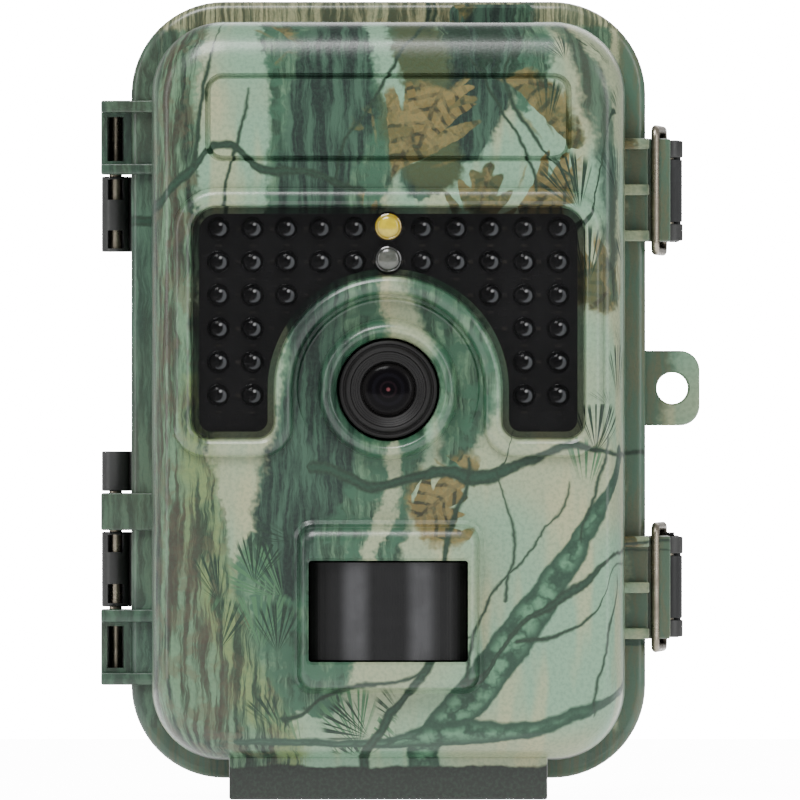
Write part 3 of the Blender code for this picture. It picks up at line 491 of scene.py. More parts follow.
def hood_window_cut():
    """The sensor's window, with a small chamfer at its mouth."""
    mouth = ((0.0, -27.5), (0.0, -35.55), (0.35, -35.9), (0.9, -36.6))
    return stack([(13.6 + grow, 23.6 - grow, 40.9 + grow, 0.5 + grow * 0.5, y) for grow, y in mouth], 4)


def label_groove():
    """A rounded groove that frames a blank panel."""
    profile = [(0.0, -33.0), (0.0, -31.45), (-0.15, -30.85), (-0.5, -30.6), (-0.85, -30.85), (-1.0, -31.45)]
    profile.append((-1.0, -33.0))
    sections = [(31.3 + grow, 109.0 - grow, 124.1 + grow, 3.1 + grow, y) for grow, y in profile]
    return stack(sections, 8, closed=True)


def bracket_parts(low, high, arms):
    """A camouflaged hinge bracket: its knuckle, the web to the flange and the arms over the flange."""
    radius = 2.5
    parts = [
        rod((HINGE_X, HINGE_Y, low), (HINGE_X, HINGE_Y, high), radius, 32, 0.3),
        block((HINGE_X - 2.45, HINGE_Y - 6.4, low), (-FLANGE_SIDE, HINGE_Y - 0.4, high), 0.3),
    ]
    for arm_low, arm_high in arms:
        parts.append(block((HINGE_X - 2.4, -3.4, arm_low), (-39.5, HINGE_Y - 3.0, arm_high), 0.35))
    return parts


def catch_parts(height):
    """The latch catch: a lug beside the flange and three ribs in front of it."""
    low = height - LATCH_HALF_HEIGHT
    high = height + LATCH_HALF_HEIGHT
    parts = [
        block((FLANGE_SIDE, FLANGE_FRONT, low), (48.5, 7.5, high), 0.35),
        block((39.5, -3.4, low + 0.4), (44.6, FLANGE_FRONT + 0.6, high - 0.4), 0.2),
    ]
    for offset in (0.95 - LATCH_HALF_HEIGHT, 0.0, LATCH_HALF_HEIGHT - 0.95):
        rib = height + offset
        parts.append(block((39.0, -8.0, rib - 0.95), (44.8, FLANGE_FRONT + 0.5, rib + 0.95), 0.3))
    return parts


def tab_form(front, back):
    """The padlock tab with rounded corners and edges."""
    half = 6.45
    rings = []
    for inset, y in ((0.3, front), (0.0, front + 0.3), (0.0, back - 0.3), (0.3, back)):
        low = TAB_Z - half + inset
        high = TAB_Z + half - inset
        rings.append(rounded_ring(6.8 - inset, low, high, 3.4 - inset, y, 10, TAB_X))
    return loft(rings)


def tab_hole():
    """The padlock's hole through both tabs, with chamfered ends and a shoulder between them."""
    profile = ((3.1, -1.0), (3.1, 4.2), (2.7, 4.6), (2.7, 11.6), (3.1, 12.0), (3.1, 14.0))
    return loft([circle(radius, y, TAB_Z, 40, TAB_HOLE_X) for radius, y in profile])


def hinge_bore(low, high):
    """The hinge pins' bore between two heights."""
    return rod((HINGE_X, HINGE_Y, low), (HINGE_X, HINGE_Y, high), HINGE_BORE, 32)


def pin_window(low, high, back=9.2):
    """A gap in a knuckle through which its pin shows."""
    return block((HINGE_X - 1.35, -8.0, low), (HINGE_X + 1.45, back, high))


def front_shell(material):
    """The whole front moulding: body, flange, foot, window seat, lens ring, hood, brackets and catches."""
    boss = stack(
        [
            (7.2, 128.0, 136.1, 1.4, FLANGE_FRONT + 0.5),
            (7.2, 128.0, 136.1, 1.4, -14.2),
            (6.6, 128.0, 135.5, 1.2, -15.0),
        ],
        6,
    )
    bmesh.ops.translate(boss, vec=Vector((17.7, 0, 0)) * MM, verts=boss.verts)
    foot = block((-FOOT_HALF, -27.0, 0.0), (FOOT_HALF, FRONT_RIM, 7.5), 0.4)
    steps = union(flange_form(), boss, foot, bezel_form(), tab_form(4.3, FRONT_RIM), hood_form())
    for height in LATCHES.values():
        steps += union(*catch_parts(height))
    for low, high, arms in FRONT_BRACKETS:
        steps += union(*bracket_parts(low, high, arms))
    steps += cut(annulus_cut())
    cavity = [
        (BODY_HALF - WALL, BODY_LOW + WALL, BODY_HIGH - WALL, BODY_RADIUS - WALL, 1.0),
        (BODY_HALF - WALL - 0.8, BODY_LOW + WALL + 0.8, BODY_HIGH - WALL - 4.0, 8.0, BODY_FACE + WALL + 4.0),
        (BODY_HALF - WALL - 3.0, BODY_LOW + WALL + 3.0, BODY_HIGH - WALL - 9.0, 6.0, BODY_FACE + WALL),
    ]
    steps += cut(stack(cavity, 8))
    steps += cut(stack([(*ring_offset(FLANGE_WALL), y) for y in (0.0, FRONT_RIM + 1.0)], 12))
    steps += union(*(rod((x, -30.0, z), (x, 0.0, z), 3.0, 24) for x, z in SCREW_POSTS))
    steps += cut(*(rod((x, -7.0, z), (x, 1.0, z), 1.4, 16) for x, z in SCREW_POSTS))
    bore = rod((0, -37.0, LENS_Z), (0, -27.0, LENS_Z), 8.7, 64)
    steps += cut(pocket_cut(), ledge_cut(), bore)
    steps += union(lens_ring_form())
    dots = [rod((0, WINDOW_FLOOR - 0.5, z), (0, -28.0, z), 2.6, 32) for z in (STATUS_Z, SENSOR_Z)]
    steps += cut(*dots, hood_window_cut(), label_groove(), tab_hole())
    steps += cut(hinge_bore(107.0, 120.0), hinge_bore(19.0, 53.0))
    steps += cut(*(pin_window(low, high) for low, high in FRONT_PIN_GAPS))
    shape = combine(body_form(), steps)
    piece("case_front", shape, material, FRONT, ["front_shell"])


# Rear half of the case


def rear_form():
    """The shallow rear shell with a round back edge."""
    half = FLANGE_HALF - 0.3
    low = FLANGE_LOW + 0.3
    high = FLANGE_HIGH - 0.3
    radius = FLANGE_RADIUS - 0.3
    sections = [
        (half - 0.25, low + 0.25, high - 0.25, radius - 0.25, REAR_RIM),
        (half, low, high, radius, REAR_RIM + 0.3),
    ]
    fillet = 4.0
    for inward, along in quarter(fillet, 8):
        outline = (half - inward, low + inward, high - inward, radius - inward)
        sections.append((*outline, REAR_BACK - fillet + along))
    return stack(sections, 16)


def strap_bar(sign):
    """A bar that the strap threads under, with softened edges."""
    low, high = sorted((sign * 27.0, sign * 31.5))
    bar = block((low, REAR_BACK - 1.0, 53.0), (high, TREE_FACE, 87.0), 0.5)
    slot = block((low - 1.0, REAR_BACK + 0.2, 56.0), (high + 1.0, TREE_FACE - 3.0, 84.0), 0.8, 3)
    return combine(bar, cut(slot))


def toothed_ridge(x, low):
    """A ridge with a saw-tooth edge; its sides lean in a little towards the teeth."""
    teeth = 7
    pitch = 4.0
    outline = [(REAR_BACK - 1.0, low)]
    for i in range(teeth):
        outline.append((TREE_FACE - 2.0, low + pitch * i))
        outline.append((TREE_FACE - 0.15, low + pitch * (i + 0.5) - 0.15))
        outline.append((TREE_FACE - 0.15, low + pitch * (i + 0.5) + 0.15))
    outline.append((TREE_FACE - 2.0, low + pitch * teeth))
    outline.append((REAR_BACK - 1.0, low + pitch * teeth))
    rings = []
    for offset, shrink in ((-1.5, 0.25), (-1.25, 0.0), (1.25, 0.0), (1.5, 0.25)):
        rings.append([(x + offset, y - shrink * (y > REAR_BACK), z) for y, z in outline])
    return loft(rings)


def ear_parts(height):
    """Two ears for a latch lever's pin."""
    parts = []
    for sign in (-1, 1):
        low, high = sorted((height + sign * 5.7, height + sign * (LATCH_HALF_HEIGHT - 0.2)))
        parts.append(rod((LATCH_X, LATCH_Y, low), (LATCH_X, LATCH_Y, high), 2.4, 32, 0.25))
        parts.append(block((FLANGE_SIDE, 10.8, low), (LATCH_X, 15.2, high), 0.25))
    return parts


def rear_shell(material):
    """The whole rear moulding: shell, strap bars, tree ridges, knuckles, ears, tripod boss and jack bore."""
    foot = block((-FOOT_HALF, REAR_RIM, 0.0), (FOOT_HALF, 25.0, 5.0), 0.4)
    steps = union(foot, tab_form(REAR_RIM + 0.1, 11.9))
    steps += union(strap_bar(-1), strap_bar(1))
    steps += union(*(toothed_ridge(x, low) for x in (-16.0, 16.0) for low in (13.0, 97.0)))
    for low, high in REAR_KNUCKLES:
        steps += union(
            rod((HINGE_X, HINGE_Y, low), (HINGE_X, HINGE_Y, high), 2.4, 32, 0.25),
            block((HINGE_X, REAR_RIM + 0.1, low), (-FLANGE_SIDE, 10.4, high), 0.25),
        )
    for height in LATCHES.values():
        steps += union(*ear_parts(height))
    inner, low, high, radius = ring_offset(FLANGE_WALL)
    floor_y = REAR_BACK - 2.4
    cavity = [
        (inner, low, high, radius, REAR_RIM - 1.0),
        (inner, low, high, radius, floor_y - 1.2),
        (inner - 1.2, low + 1.2, high - 1.2, radius - 1.2, floor_y),
    ]
    steps += cut(stack(cavity, 12))
    steps += union(rod((0, TRIPOD_Y, 5.0), (0, TRIPOD_Y, 9.2), 6.5, 40, 0.3))
    groove = ((0, 7.0), (0, 9.4), (1.2, 9.4), (1.2, 7.0))
    steps += cut(stack([(*ring_offset(1.05 + width), y) for width, y in groove], 16, closed=True))
    steps += cut(rod((0, TRIPOD_Y, -1.0), (0, TRIPOD_Y, 8.2), 4.5, 48), tab_hole())
    steps += cut(hinge_bore(93.0, 107.5), hinge_bore(32.0, 60.0))
    for low, high in REAR_PIN_GAPS:
        steps += cut(pin_window(low, high, HINGE_Y + 0.9))
    for height in LATCHES.values():
        steps += cut(rod((LATCH_X, LATCH_Y, height - 9.4), (LATCH_X, LATCH_Y, height + 9.4), EAR_BORE, 22))
    steps += cut(rod((40.0, JACK_Y, JACK_Z), (46.0, JACK_Y, JACK_Z), 2.9, 40))
    steps += cut(rod((42.1, JACK_Y, JACK_Z), (46.0, JACK_Y, JACK_Z), 4.9, 48))
    pocket = [
        (9.5, 50.0, 90.0, 2.0, REAR_BACK + 1.0),
        (9.5, 50.0, 90.0, 2.0, REAR_BACK - 0.3),
        (9.1, 50.4, 89.6, 1.7, REAR_BACK - 0.5),
    ]
    steps += cut(stack(pocket, 8))
    line = [(36.0, 16.0, 124.0, 9.0, y) for y in (REAR_BACK + 1.0, REAR_BACK - 0.35)]
    line += [(35.3, 16.7, 123.3, 8.3, y) for y in (REAR_BACK - 0.35, REAR_BACK + 1.0)]
    steps += cut(stack(line, 12, closed=True))
    shape = combine(rear_form(), steps)
    piece("case_rear", shape, material, REAR, ["rear_housing"])


def gasket(material):
    """The seal: a ring with a round lip, in its groove."""
    profile = ((1.2, 9.2), (1.2, 8.35), (1.3, 8.18), (1.65, 8.1), (2.0, 8.18), (2.1, 8.35), (2.1, 9.2))
    shape = stack([(*ring_offset(inset), y) for inset, y in profile], 16, closed=True)
    piece("seal_ring", shape, material, REAR, ["case_gasket"])


# What the front face shows


def smoked_window(material):
    """The dark sheet in front of the LEDs, with a hole for each indicator."""
    edge = ((-0.25, -30.5), (-0.25, -31.85), (-0.32, -32.02), (-0.5, -32.1))
    holes = [rod((0, -34.0, z), (0, -29.0, z), 2.5, 40) for z in (STATUS_Z, SENSOR_Z)]
    shape = combine(loft([arch_ring(grow, y) for grow, y in edge]), cut(*holes))
    piece("front_window", shape, material, FRONT, ["led_window"])


def led_rows():
    """The (x, z) of each infrared LED."""
    places = []
    for row, first in enumerate(LED_FIRST_COLUMNS):
        for column in range(first, 6):
            z = LED_LOW + LED_PITCH_Z * row
            places += [(sign * LED_PITCH_X * column, z) for sign in (-1, 1)]
    return places


def led_domes(dome_material, board_material, chip_material):
    """The LED board with its domes and the small parts between them."""
    dome = [(0, 0), (1.98, 0), (1.98, 0.28), (1.9, 0.36), (1.82, 0.38)]
    dome += [*crown(1.82, 0.42, 1.1, (0.0, 0.25, 0.5, 0.75, 1.0, 1.25, 1.45)), (0, 1.53)]
    domes = [turned(dome, (x, LED_BOARD_FACE, z), (0, -1, 0), 28) for x, z in led_rows()]
    piece("infrared_leds", together(*domes), dome_material, FRONT, (), 50.0)
    face = combine(block((-34.0, LED_BOARD_FACE, 61.0), (34.0, -27.3, 102.0), 0.15), cut(lens_opening()))
    piece("led_board_face", face, board_material, FRONT, ["led_board"])
    chips = []
    seat = LED_BOARD_FACE - 0.01
    for x, z in led_rows():
        beside = x - math.copysign(3.35, x)
        chips.append(block((beside - 0.42, -29.1, z - 0.3), (beside + 0.42, seat, z + 0.3), 0.06))
        chips.append(block((x - 0.5, -29.05, z - 3.1), (x + 0.5, seat, z - 2.75), 0.06))
    piece("led_board_chips", together(*chips), chip_material, FRONT, ())


def lens_opening():
    """The opening for the lens in the LED board: a disc that runs out at the bottom."""
    disc = rod((0, -30.0, LENS_Z), (0, -26.0, LENS_Z), 11.9, 48)
    return combine(disc, union(block((-11.9, -30.0, 55.0), (11.9, -26.0, LENS_Z))))


def indicator(name, node, z, material):
    """A round indicator with a rim step and a crowned face."""
    profile = [(0, 0), (2.3, 0), (2.3, 2.75), (2.22, 2.95), (2.02, 3.05), (1.95, 3.02)]
    profile += [*crown(1.9, 3.02, 0.55, (0.1, 0.35, 0.65, 0.95, 1.25)), (0, 3.57)]
    piece(name, turned(profile, (0, -29.0, z), (0, -1, 0), 48), material, FRONT, [node])


def lens(barrel_material, glass_material):
    """The barrel's stepped front, and the domed front glass."""
    profile = [
        (8.4, 7.0), (8.4, 13.85), (8.3, 14.1), (8.05, 14.25), (7.8, 14.2), (7.62, 14.02), (7.5, 14.02),
        (7.35, 14.3), (7.1, 14.52), (6.8, 14.58), (6.55, 14.5), (6.4, 14.25), (6.35, 13.9), (6.05, 13.75),
        (6.0, 13.45), (5.7, 13.3), (5.65, 13.0), (5.3, 12.85), (5.25, 12.55), (4.85, 12.4), (4.75, 12.1),
        (4.7, 11.8), (3.6, 11.4), (3.6, 0.0), (7.0, 0.0), (7.0, 6.5),
    ]
    place = (0, -19.6, LENS_Z)
    barrel = turned(profile, place, (0, -1, 0), 72)
    piece("lens_barrel_front", barrel, barrel_material, FRONT, ["lens_barrel"], 24.0)
    dome = [(0, 12.0), (4.5, 12.0), (4.5, 12.12)]
    dome += [*crown(4.45, 12.15, 1.05, (0.1, 0.3, 0.5, 0.7, 0.9, 1.1, 1.3, 1.45)), (0, 13.2)]
    glass = turned(dome, place, (0, -1, 0), 64)
    piece("lens_front_glass", glass, glass_material, FRONT, ["lens_glass"], 50.0)


def motion_lens(material):
    """The bowed sheet of the motion sensor, its grooves in rows of small arcs."""
    columns = 96
    half = 13.3
    low = 23.9
    high = 40.6
    rows = 6
    rings = []
    for i in range(columns + 1):
        x = half * (2 * i / columns - 1)
        bow = 2.6 * (1 - (x / half) ** 2)
        groove = 0.07 * abs(math.sin(math.pi * i / 8))
        front = -32.55 - bow - groove
        ring = [(x, -31.6 - bow, low), (x, front + 0.1, low)]
        for row in range(rows + 1):
            z = low + 0.15 + (high - low - 0.3) * row / rows
            dip = 0.0 if row in (0, rows) else 0.012
            ring += [(x, front, z - 0.12), (x, front + dip, z), (x, front, z + 0.12)]
        ring += [(x, front + 0.1, high), (x, -31.6 - bow, high)]
        rings.append(ring)
    piece("motion_lens", loft(rings), material, FRONT, ["pir_lens"], 40.0)


# Inside the front half


def inner_panel(material):
    """The panel behind the open cover: a raised rim, a screen frame and recesses around the keys."""
    outline = [(40.9, 6.6, 133.5, 12.7, 0.3), (40.9, 6.6, 133.5, 12.7, 1.7), (40.5, 7.0, 133.1, 12.3, 2.1)]
    frame = [(23.6, 85.4, 122.6, 2.6, 1.6), (23.6, 85.4, 122.6, 2.6, 2.5), (23.2, 85.8, 122.2, 2.2, 2.8)]
    opening = [(20.9, 88.1, 119.9, 1.0, -1.0), (20.9, 88.1, 119.9, 1.0, 1.9), (22.0, 87.0, 121.0, 1.6, 3.4)]
    steps = union(stack(frame, 8)) + cut(stack(opening, 6))
    for x, z in BUTTONS.values():
        steps += cut(rod((x, -1.0, z), (x, 4.0, z), 3.8, 40))
        steps += cut(rod((x, 1.6, z), (x, 2.2, z), 4.1, 40, 0.0, 4.6))
    for x, z in SCREWS:
        steps += cut(rod((x, -1.0, z), (x, 4.0, z), 1.5, 24))
    steps += cut(block((9.2, -1.0, 28.2), (20.8, 4.0, 31.8)))
    card = block((-12.8, -1.0, 37.0), (12.8, 4.0, 46.4), 0.9, 3)
    bmesh.ops.translate(card, vec=Vector((CARD_X, 0, 0)) * MM, verts=card.verts)
    steps += cut(card)
    groove = [(37.5, 10.0, 130.0, 9.5, y) for y in (3.0, 1.75)]
    groove += [(36.9, 10.6, 129.4, 8.9, y) for y in (1.75, 3.0)]
    steps += cut(stack(groove, 12, closed=True))
    shape = combine(stack(outline, 12), steps)
    piece("control_panel", shape, material, FRONT, ["inner_panel"])


def screen(material):
    """The display's cover glass, chamfered at its edge."""
    outline = [(20.7, 88.3, 119.7, 0.8, 0.4), (20.7, 88.3, 119.7, 0.8, 1.75), (20.5, 88.5, 119.5, 0.7, 1.9)]
    piece("screen_glass", stack(outline, 6), material, FRONT, ["lcd_window"])


def key_icon(name, x, z):
    """A generic raised mark for a key: an arrow, a ring, bars or a dot."""
    top = 3.92
    base = 3.6
    turns = {"button_up": 90, "button_down": 270, "button_left": 0, "button_right": 180}
    if name in turns:
        corners = []
        for spoke in (0, 130, 230):
            angle = math.radians(spoke + turns[name])
            corners.append((x + 1.5 * math.cos(angle), z + 1.5 * math.sin(angle)))
        return [loft([[(cx, y, cz) for cx, cz in corners] for y in (base, top)])]
    if name == "button_ok":
        return [turned([(1.5, 0), (1.5, 0.32), (1.15, 0.32), (1.15, 0)], (x, base, z), (0, 1, 0), 32)]
    if name == "button_menu":
        bars = (z - 0.9, z + 0.0, z + 0.9)
        return [block((x - 1.4, base, bar - 0.2), (x + 1.4, top, bar + 0.2)) for bar in bars]
    return [rod((x, base, z), (x, top, z), 1.0, 28)]


def keys(material):
    """Rubber keys with a dished top."""
    profile = [
        (0, 0), (4.4, 0), (4.4, 1.0), (3.5, 1.0), (3.5, 4.75), (3.4, 5.0),
        (3.15, 5.16), (2.9, 5.2), (2.5, 5.15), (1.9, 5.06), (0, 5.02),
    ]
    for name, (x, z) in BUTTONS.items():
        cap = turned(profile, (x, -1.4, z), (0, 1, 0), 40)
        shape = together(cap, *key_icon(name, x, z))
        piece(name.replace("button", "key"), shape, material, name, [name])


def switch_knob(material):
    """The slide switch: a slider under the panel and a knob with three grooves."""
    slider = block((6.5, -2.0, 26.6), (16.5, -0.4, 33.4), 0.3)
    knob = block((9.9, -1.0, 28.6), (13.1, 3.6, 31.4), 0.35)
    grooves = [block((9.0, 3.3, z - 0.18), (14.0, 4.0, z + 0.18)) for z in (29.3, 30.0, 30.7)]
    shape = combine(slider, union(knob) + cut(*grooves))
    piece("switch_knob", shape, material, "power_switch", ["power_switch"])


def memory_card(material):
    """A plain card with a clipped corner, a label recess and a ridge to push it by."""
    outline = [(-12.0, 4.2), (-7.8, 0.0), (12.0, 0.0), (12.0, 32.0), (-12.0, 32.0)]
    rings = [[(CARD_X + x, y, 13.2 + z) for x, z in outline] for y in (-2.9, -0.8)]
    label = block((CARD_X - 10.0, -1.0, 20.0), (CARD_X + 10.0, -0.5, 39.0))
    ridge = [block((CARD_X - 9.0, -0.98, z), (CARD_X + 9.0, -0.5, z + 0.5)) for z in (41.0, 42.2, 43.4)]
    shape = combine(loft(rings), cut(label, *ridge))
    piece("memory_card", shape, material, "sd_card", ["sd_card"])


def panel_screws(material):
    """Four round-headed screws with cross recesses."""
    profile = [
        (0, 0), (1.1, 0.6), (1.1, 7.1), (2.5, 7.1), (2.5, 7.55),
        (2.3, 7.95), (1.8, 8.35), (1.1, 8.55), (0, 8.6),
    ]
    foot = 2.3 - 7.1
    for number, (x, z) in enumerate(SCREWS, start=1):
        head = turned(profile, (x, foot, z), (0, 1, 0), 40)
        arms = [
            block((x - across, foot + 7.9, z - up), (x + across, foot + 9.0, z + up))
            for across, up in ((1.3, 0.25), (0.25, 1.3))
        ]
        name = f"panel_screw_{number}"
        piece(f"screw_{number}", combine(head, cut(*arms)), material, FRONT, [name])


# Inside the rear half


def battery_tray(material):
    """The tray with a round seat for each cell and low walls between them."""
    steps = []
    for low, high in CELL_BAYS:
        steps += cut(block((-30.4, 8.0, low), (30.4, CELL_Y, high)))
        steps += cut(*(rod((x, CELL_Y, low), (x, CELL_Y, high), 7.35, 48) for x in CELL_COLUMNS))
    tray = block((-32.0, 9.4, 9.8), (32.0, 25.3, 130.2), 0.5)
    piece("battery_tray", combine(tray, steps), material, REAR, ["battery_holder"])


def upright(up):
    """The direction of a turned piece that stands up or, a hair off exactly opposite, hangs down."""
    return (0, 0, 1) if up else (0, 0.000001, -1)


def cells(materials):
    """Eight cells with a nipple, a crimped shoulder and a sleeve."""
    profile = [
        (0, 0), (4.6, 0), (4.7, 0.2), (6.5, 0.2), (6.85, 0.3), (7.05, 0.6), (7.05, 49.0), (6.85, 49.3),
        (6.5, 49.45), (3.4, 49.45), (3.2, 49.5), (2.75, 49.6), (2.75, 50.2), (2.5, 50.45), (0, CELL_LENGTH),
    ]
    number = 0
    for low in CELL_LOWS:
        for column, x in enumerate(CELL_COLUMNS):
            number += 1
            up = column % 2 == 0
            place = (x, CELL_Y, low if up else low + CELL_LENGTH)
            shape = turned(profile, place, upright(up), 40)
            name = f"cell_{number}"
            piece(f"battery_{name}", shape, materials[low, up], REAR, [name])


def spring(x, face, up):
    """A coiled spring on a contact plate, narrower towards the cell."""
    steps = 60
    coil = []
    for i in range(steps + 1):
        share = i / steps
        angle = math.tau * 2.5 * share
        radius = 3.6 - 1.4 * share
        height = face + up * (0.35 + 2.2 * share)
        coil.append((x + radius * math.cos(angle), CELL_Y + radius * math.sin(angle), height))
    return wire(coil, 0.32, 10)


def contacts(material):
    """Contact plates with a coiled spring for each minus pole and a dome for each plus pole."""
    dome = [(0, 0), (2.6, 0), (2.4, 0.8), (1.9, 1.5), (1.2, 1.9), (0, 2.1)]
    number = 0
    for low, high in CELL_BAYS:
        for z, up in ((low + 0.3, 1), (high - 0.9, -1)):
            number += 1
            face = z + 0.6 if up > 0 else z
            parts = [block((x - 7.0, 12.0, z), (x + 7.0, 22.5, z + 0.6), 0.15) for x in CELL_COLUMNS]
            for column, x in enumerate(CELL_COLUMNS):
                minus = (column % 2 == 0) == (up > 0)
                if minus:
                    parts.append(spring(x, face, up))
                else:
                    parts.append(turned(dome, (x, CELL_Y, face), upright(up > 0), 28))
            node = f"battery_contact_{number}"
            piece(f"contact_strip_{number}", together(*parts), material, REAR, [node])


def fittings(brass, rubber, steel):
    """The threaded tripod insert, the jack's plug and the hinge pins."""
    thread = [(4.2, 0.15), (4.2, 7.7), (4.05, 7.8), (3.2, 7.8)]
    turns = 6
    pitch = 1.27
    for i in range(turns):
        height = 7.2 - pitch * i * 0.9
        thread += [(3.1, height), (3.1, height - 0.2), (3.5, height - 0.6), (3.5, height - 0.75)]
    thread += [(3.15, 0.4), (3.45, 0.0), (4.05, 0.0)]
    insert = turned(thread, (0, TRIPOD_Y, 0.1), (0, 0, 1), 56)
    piece("tripod_thread", insert, brass, REAR, ["tripod_insert"])
    plug = [
        (0, 0), (1.8, 0.05), (2.3, 0.5), (2.4, 1.6), (2.55, 1.8), (2.55, 2.2), (2.4, 2.4), (2.4, 6.1),
        (4.5, 6.1), (4.6, 6.25), (4.6, 7.1), (4.45, 7.4), (4.2, 7.55), (3.2, 7.6), (3.0, 7.45), (0, 7.4),
    ]
    cap = turned(plug, (36.2, JACK_Y, JACK_Z), (1, 0, 0), 48)
    grip = block((43.4, JACK_Y - 2.6, JACK_Z - 0.45), (43.9, JACK_Y + 2.6, JACK_Z + 0.45), 0.2)
    piece("jack_plug", together(cap, grip), rubber, "dc_plug", ["dc_plug"])
    for name, low, high in (("upper", 94.0, 119.7), ("lower", 19.4, 59.4)):
        pin = rod((HINGE_X, HINGE_Y, low), (HINGE_X, HINGE_Y, high), 1.1, 32, 0.3)
        piece(f"hinge_rod_{name}", pin, steel, REAR, [f"hinge_pin_{name}"])


# Latches


def wire(points, radius, sides=20):
    """A round wire along a list of points, closed at its ends."""
    places = [Vector(point) for point in points]
    heading = (places[1] - places[0]).normalized()
    up = heading.orthogonal().normalized()
    rings = []
    for i, place in enumerate(places):
        before = places[max(i - 1, 0)]
        after = places[min(i + 1, len(places) - 1)]
        turn = heading.rotation_difference((after - before).normalized())
        up = turn @ up
        heading = (after - before).normalized()
        across = heading.cross(up)
        ring = []
        for k in range(sides):
            angle = math.tau * k / sides
            ring.append(place + (up * math.cos(angle) + across * math.sin(angle)) * radius)
        rings.append(ring)
    return loft(rings)


def bend(point, before, after, radius):
    """Points around a bend in the wire, between its two straight directions."""
    centre = point - before * radius + after * radius
    steps = 8
    points = []
    for i in range(steps + 1):
        angle = math.pi / 2 * i / steps
        points.append(centre - after * radius * math.cos(angle) + before * radius * math.sin(angle))
    return points


def bail(name, height, material):
    """The wire loop that hooks over the catch."""
    radius = 1.6
    reach = 10.5
    back = Vector((*BAIL_PIVOT, 0.0))
    front = Vector((45.85, -3.05, 0.0))
    run = (front - back).normalized()
    up = Vector((0, 0, 1))
    half = [back + up * 7.3, back + up * 8.1]
    half += bend(back + up * reach, up, run, radius)
    half += bend(front + up * reach, run, -up, radius)
    path = half + [Vector((p.x, p.y, -p.z)) for p in reversed(half)]
    shape = wire([p + up * height for p in path], 0.7)
    node = f"latch_bail_{name}"
    piece(f"bail_wire_{name}", shape, material, node, [node])


def lever(name, height, material):
    """The lever: a ribbed finger plate, its barrel between the ears, and the lug that draws the bail."""
    half = 8.8
    low = height - half
    high = height + half
    plate = block((48.2, 16.0, low), (50.5, 27.5, high), 0.6, 3)
    steps = union(
        rod((LATCH_X, LATCH_Y, height - 5.4), (LATCH_X, LATCH_Y, height + 5.4), 2.3, 36, 0.2),
        block((45.9, 18.2, low), (48.8, 21.8, high), 0.35),
        block((46.6, LATCH_Y, height - 5.4), (50.4, 19.0, height + 5.4), 0.5, 3),
    )
    for groove in (23.0 + 1.3 * i for i in range(3)):
        steps += cut(block((50.15, groove, low + 1.0), (51.0, groove + 0.6, high - 1.0)))
    steps += cut(rod((LATCH_X, LATCH_Y, low - 3), (LATCH_X, LATCH_Y, high + 3), LATCH_BORE, 24))
    for sign in (-1, 1):
        start = height + sign * 6.8
        steps += cut(rod((*BAIL_PIVOT, start), (*BAIL_PIVOT, start + sign * 5.2), 0.9, 24))
    shape = combine(plate, steps)
    node = f"latch_lever_{name}"
    piece(f"lever_{name}", shape, material, node, [node])


def latches(lever_material, steel):
    """Both latches: a lever, its bail and its pin."""
    for name, height in LATCHES.items():
        lever(name, height, lever_material)
        bail(name, height, steel)
        pin = rod((LATCH_X, LATCH_Y, height - 8.55), (LATCH_X, LATCH_Y, height + 8.55), 0.8, 28, 0.2)
        piece(f"latch_rod_{name}", pin, steel, REAR, [f"latch_pin_{name}"])


# Materials: a small helper for writing shader graphs as formulas


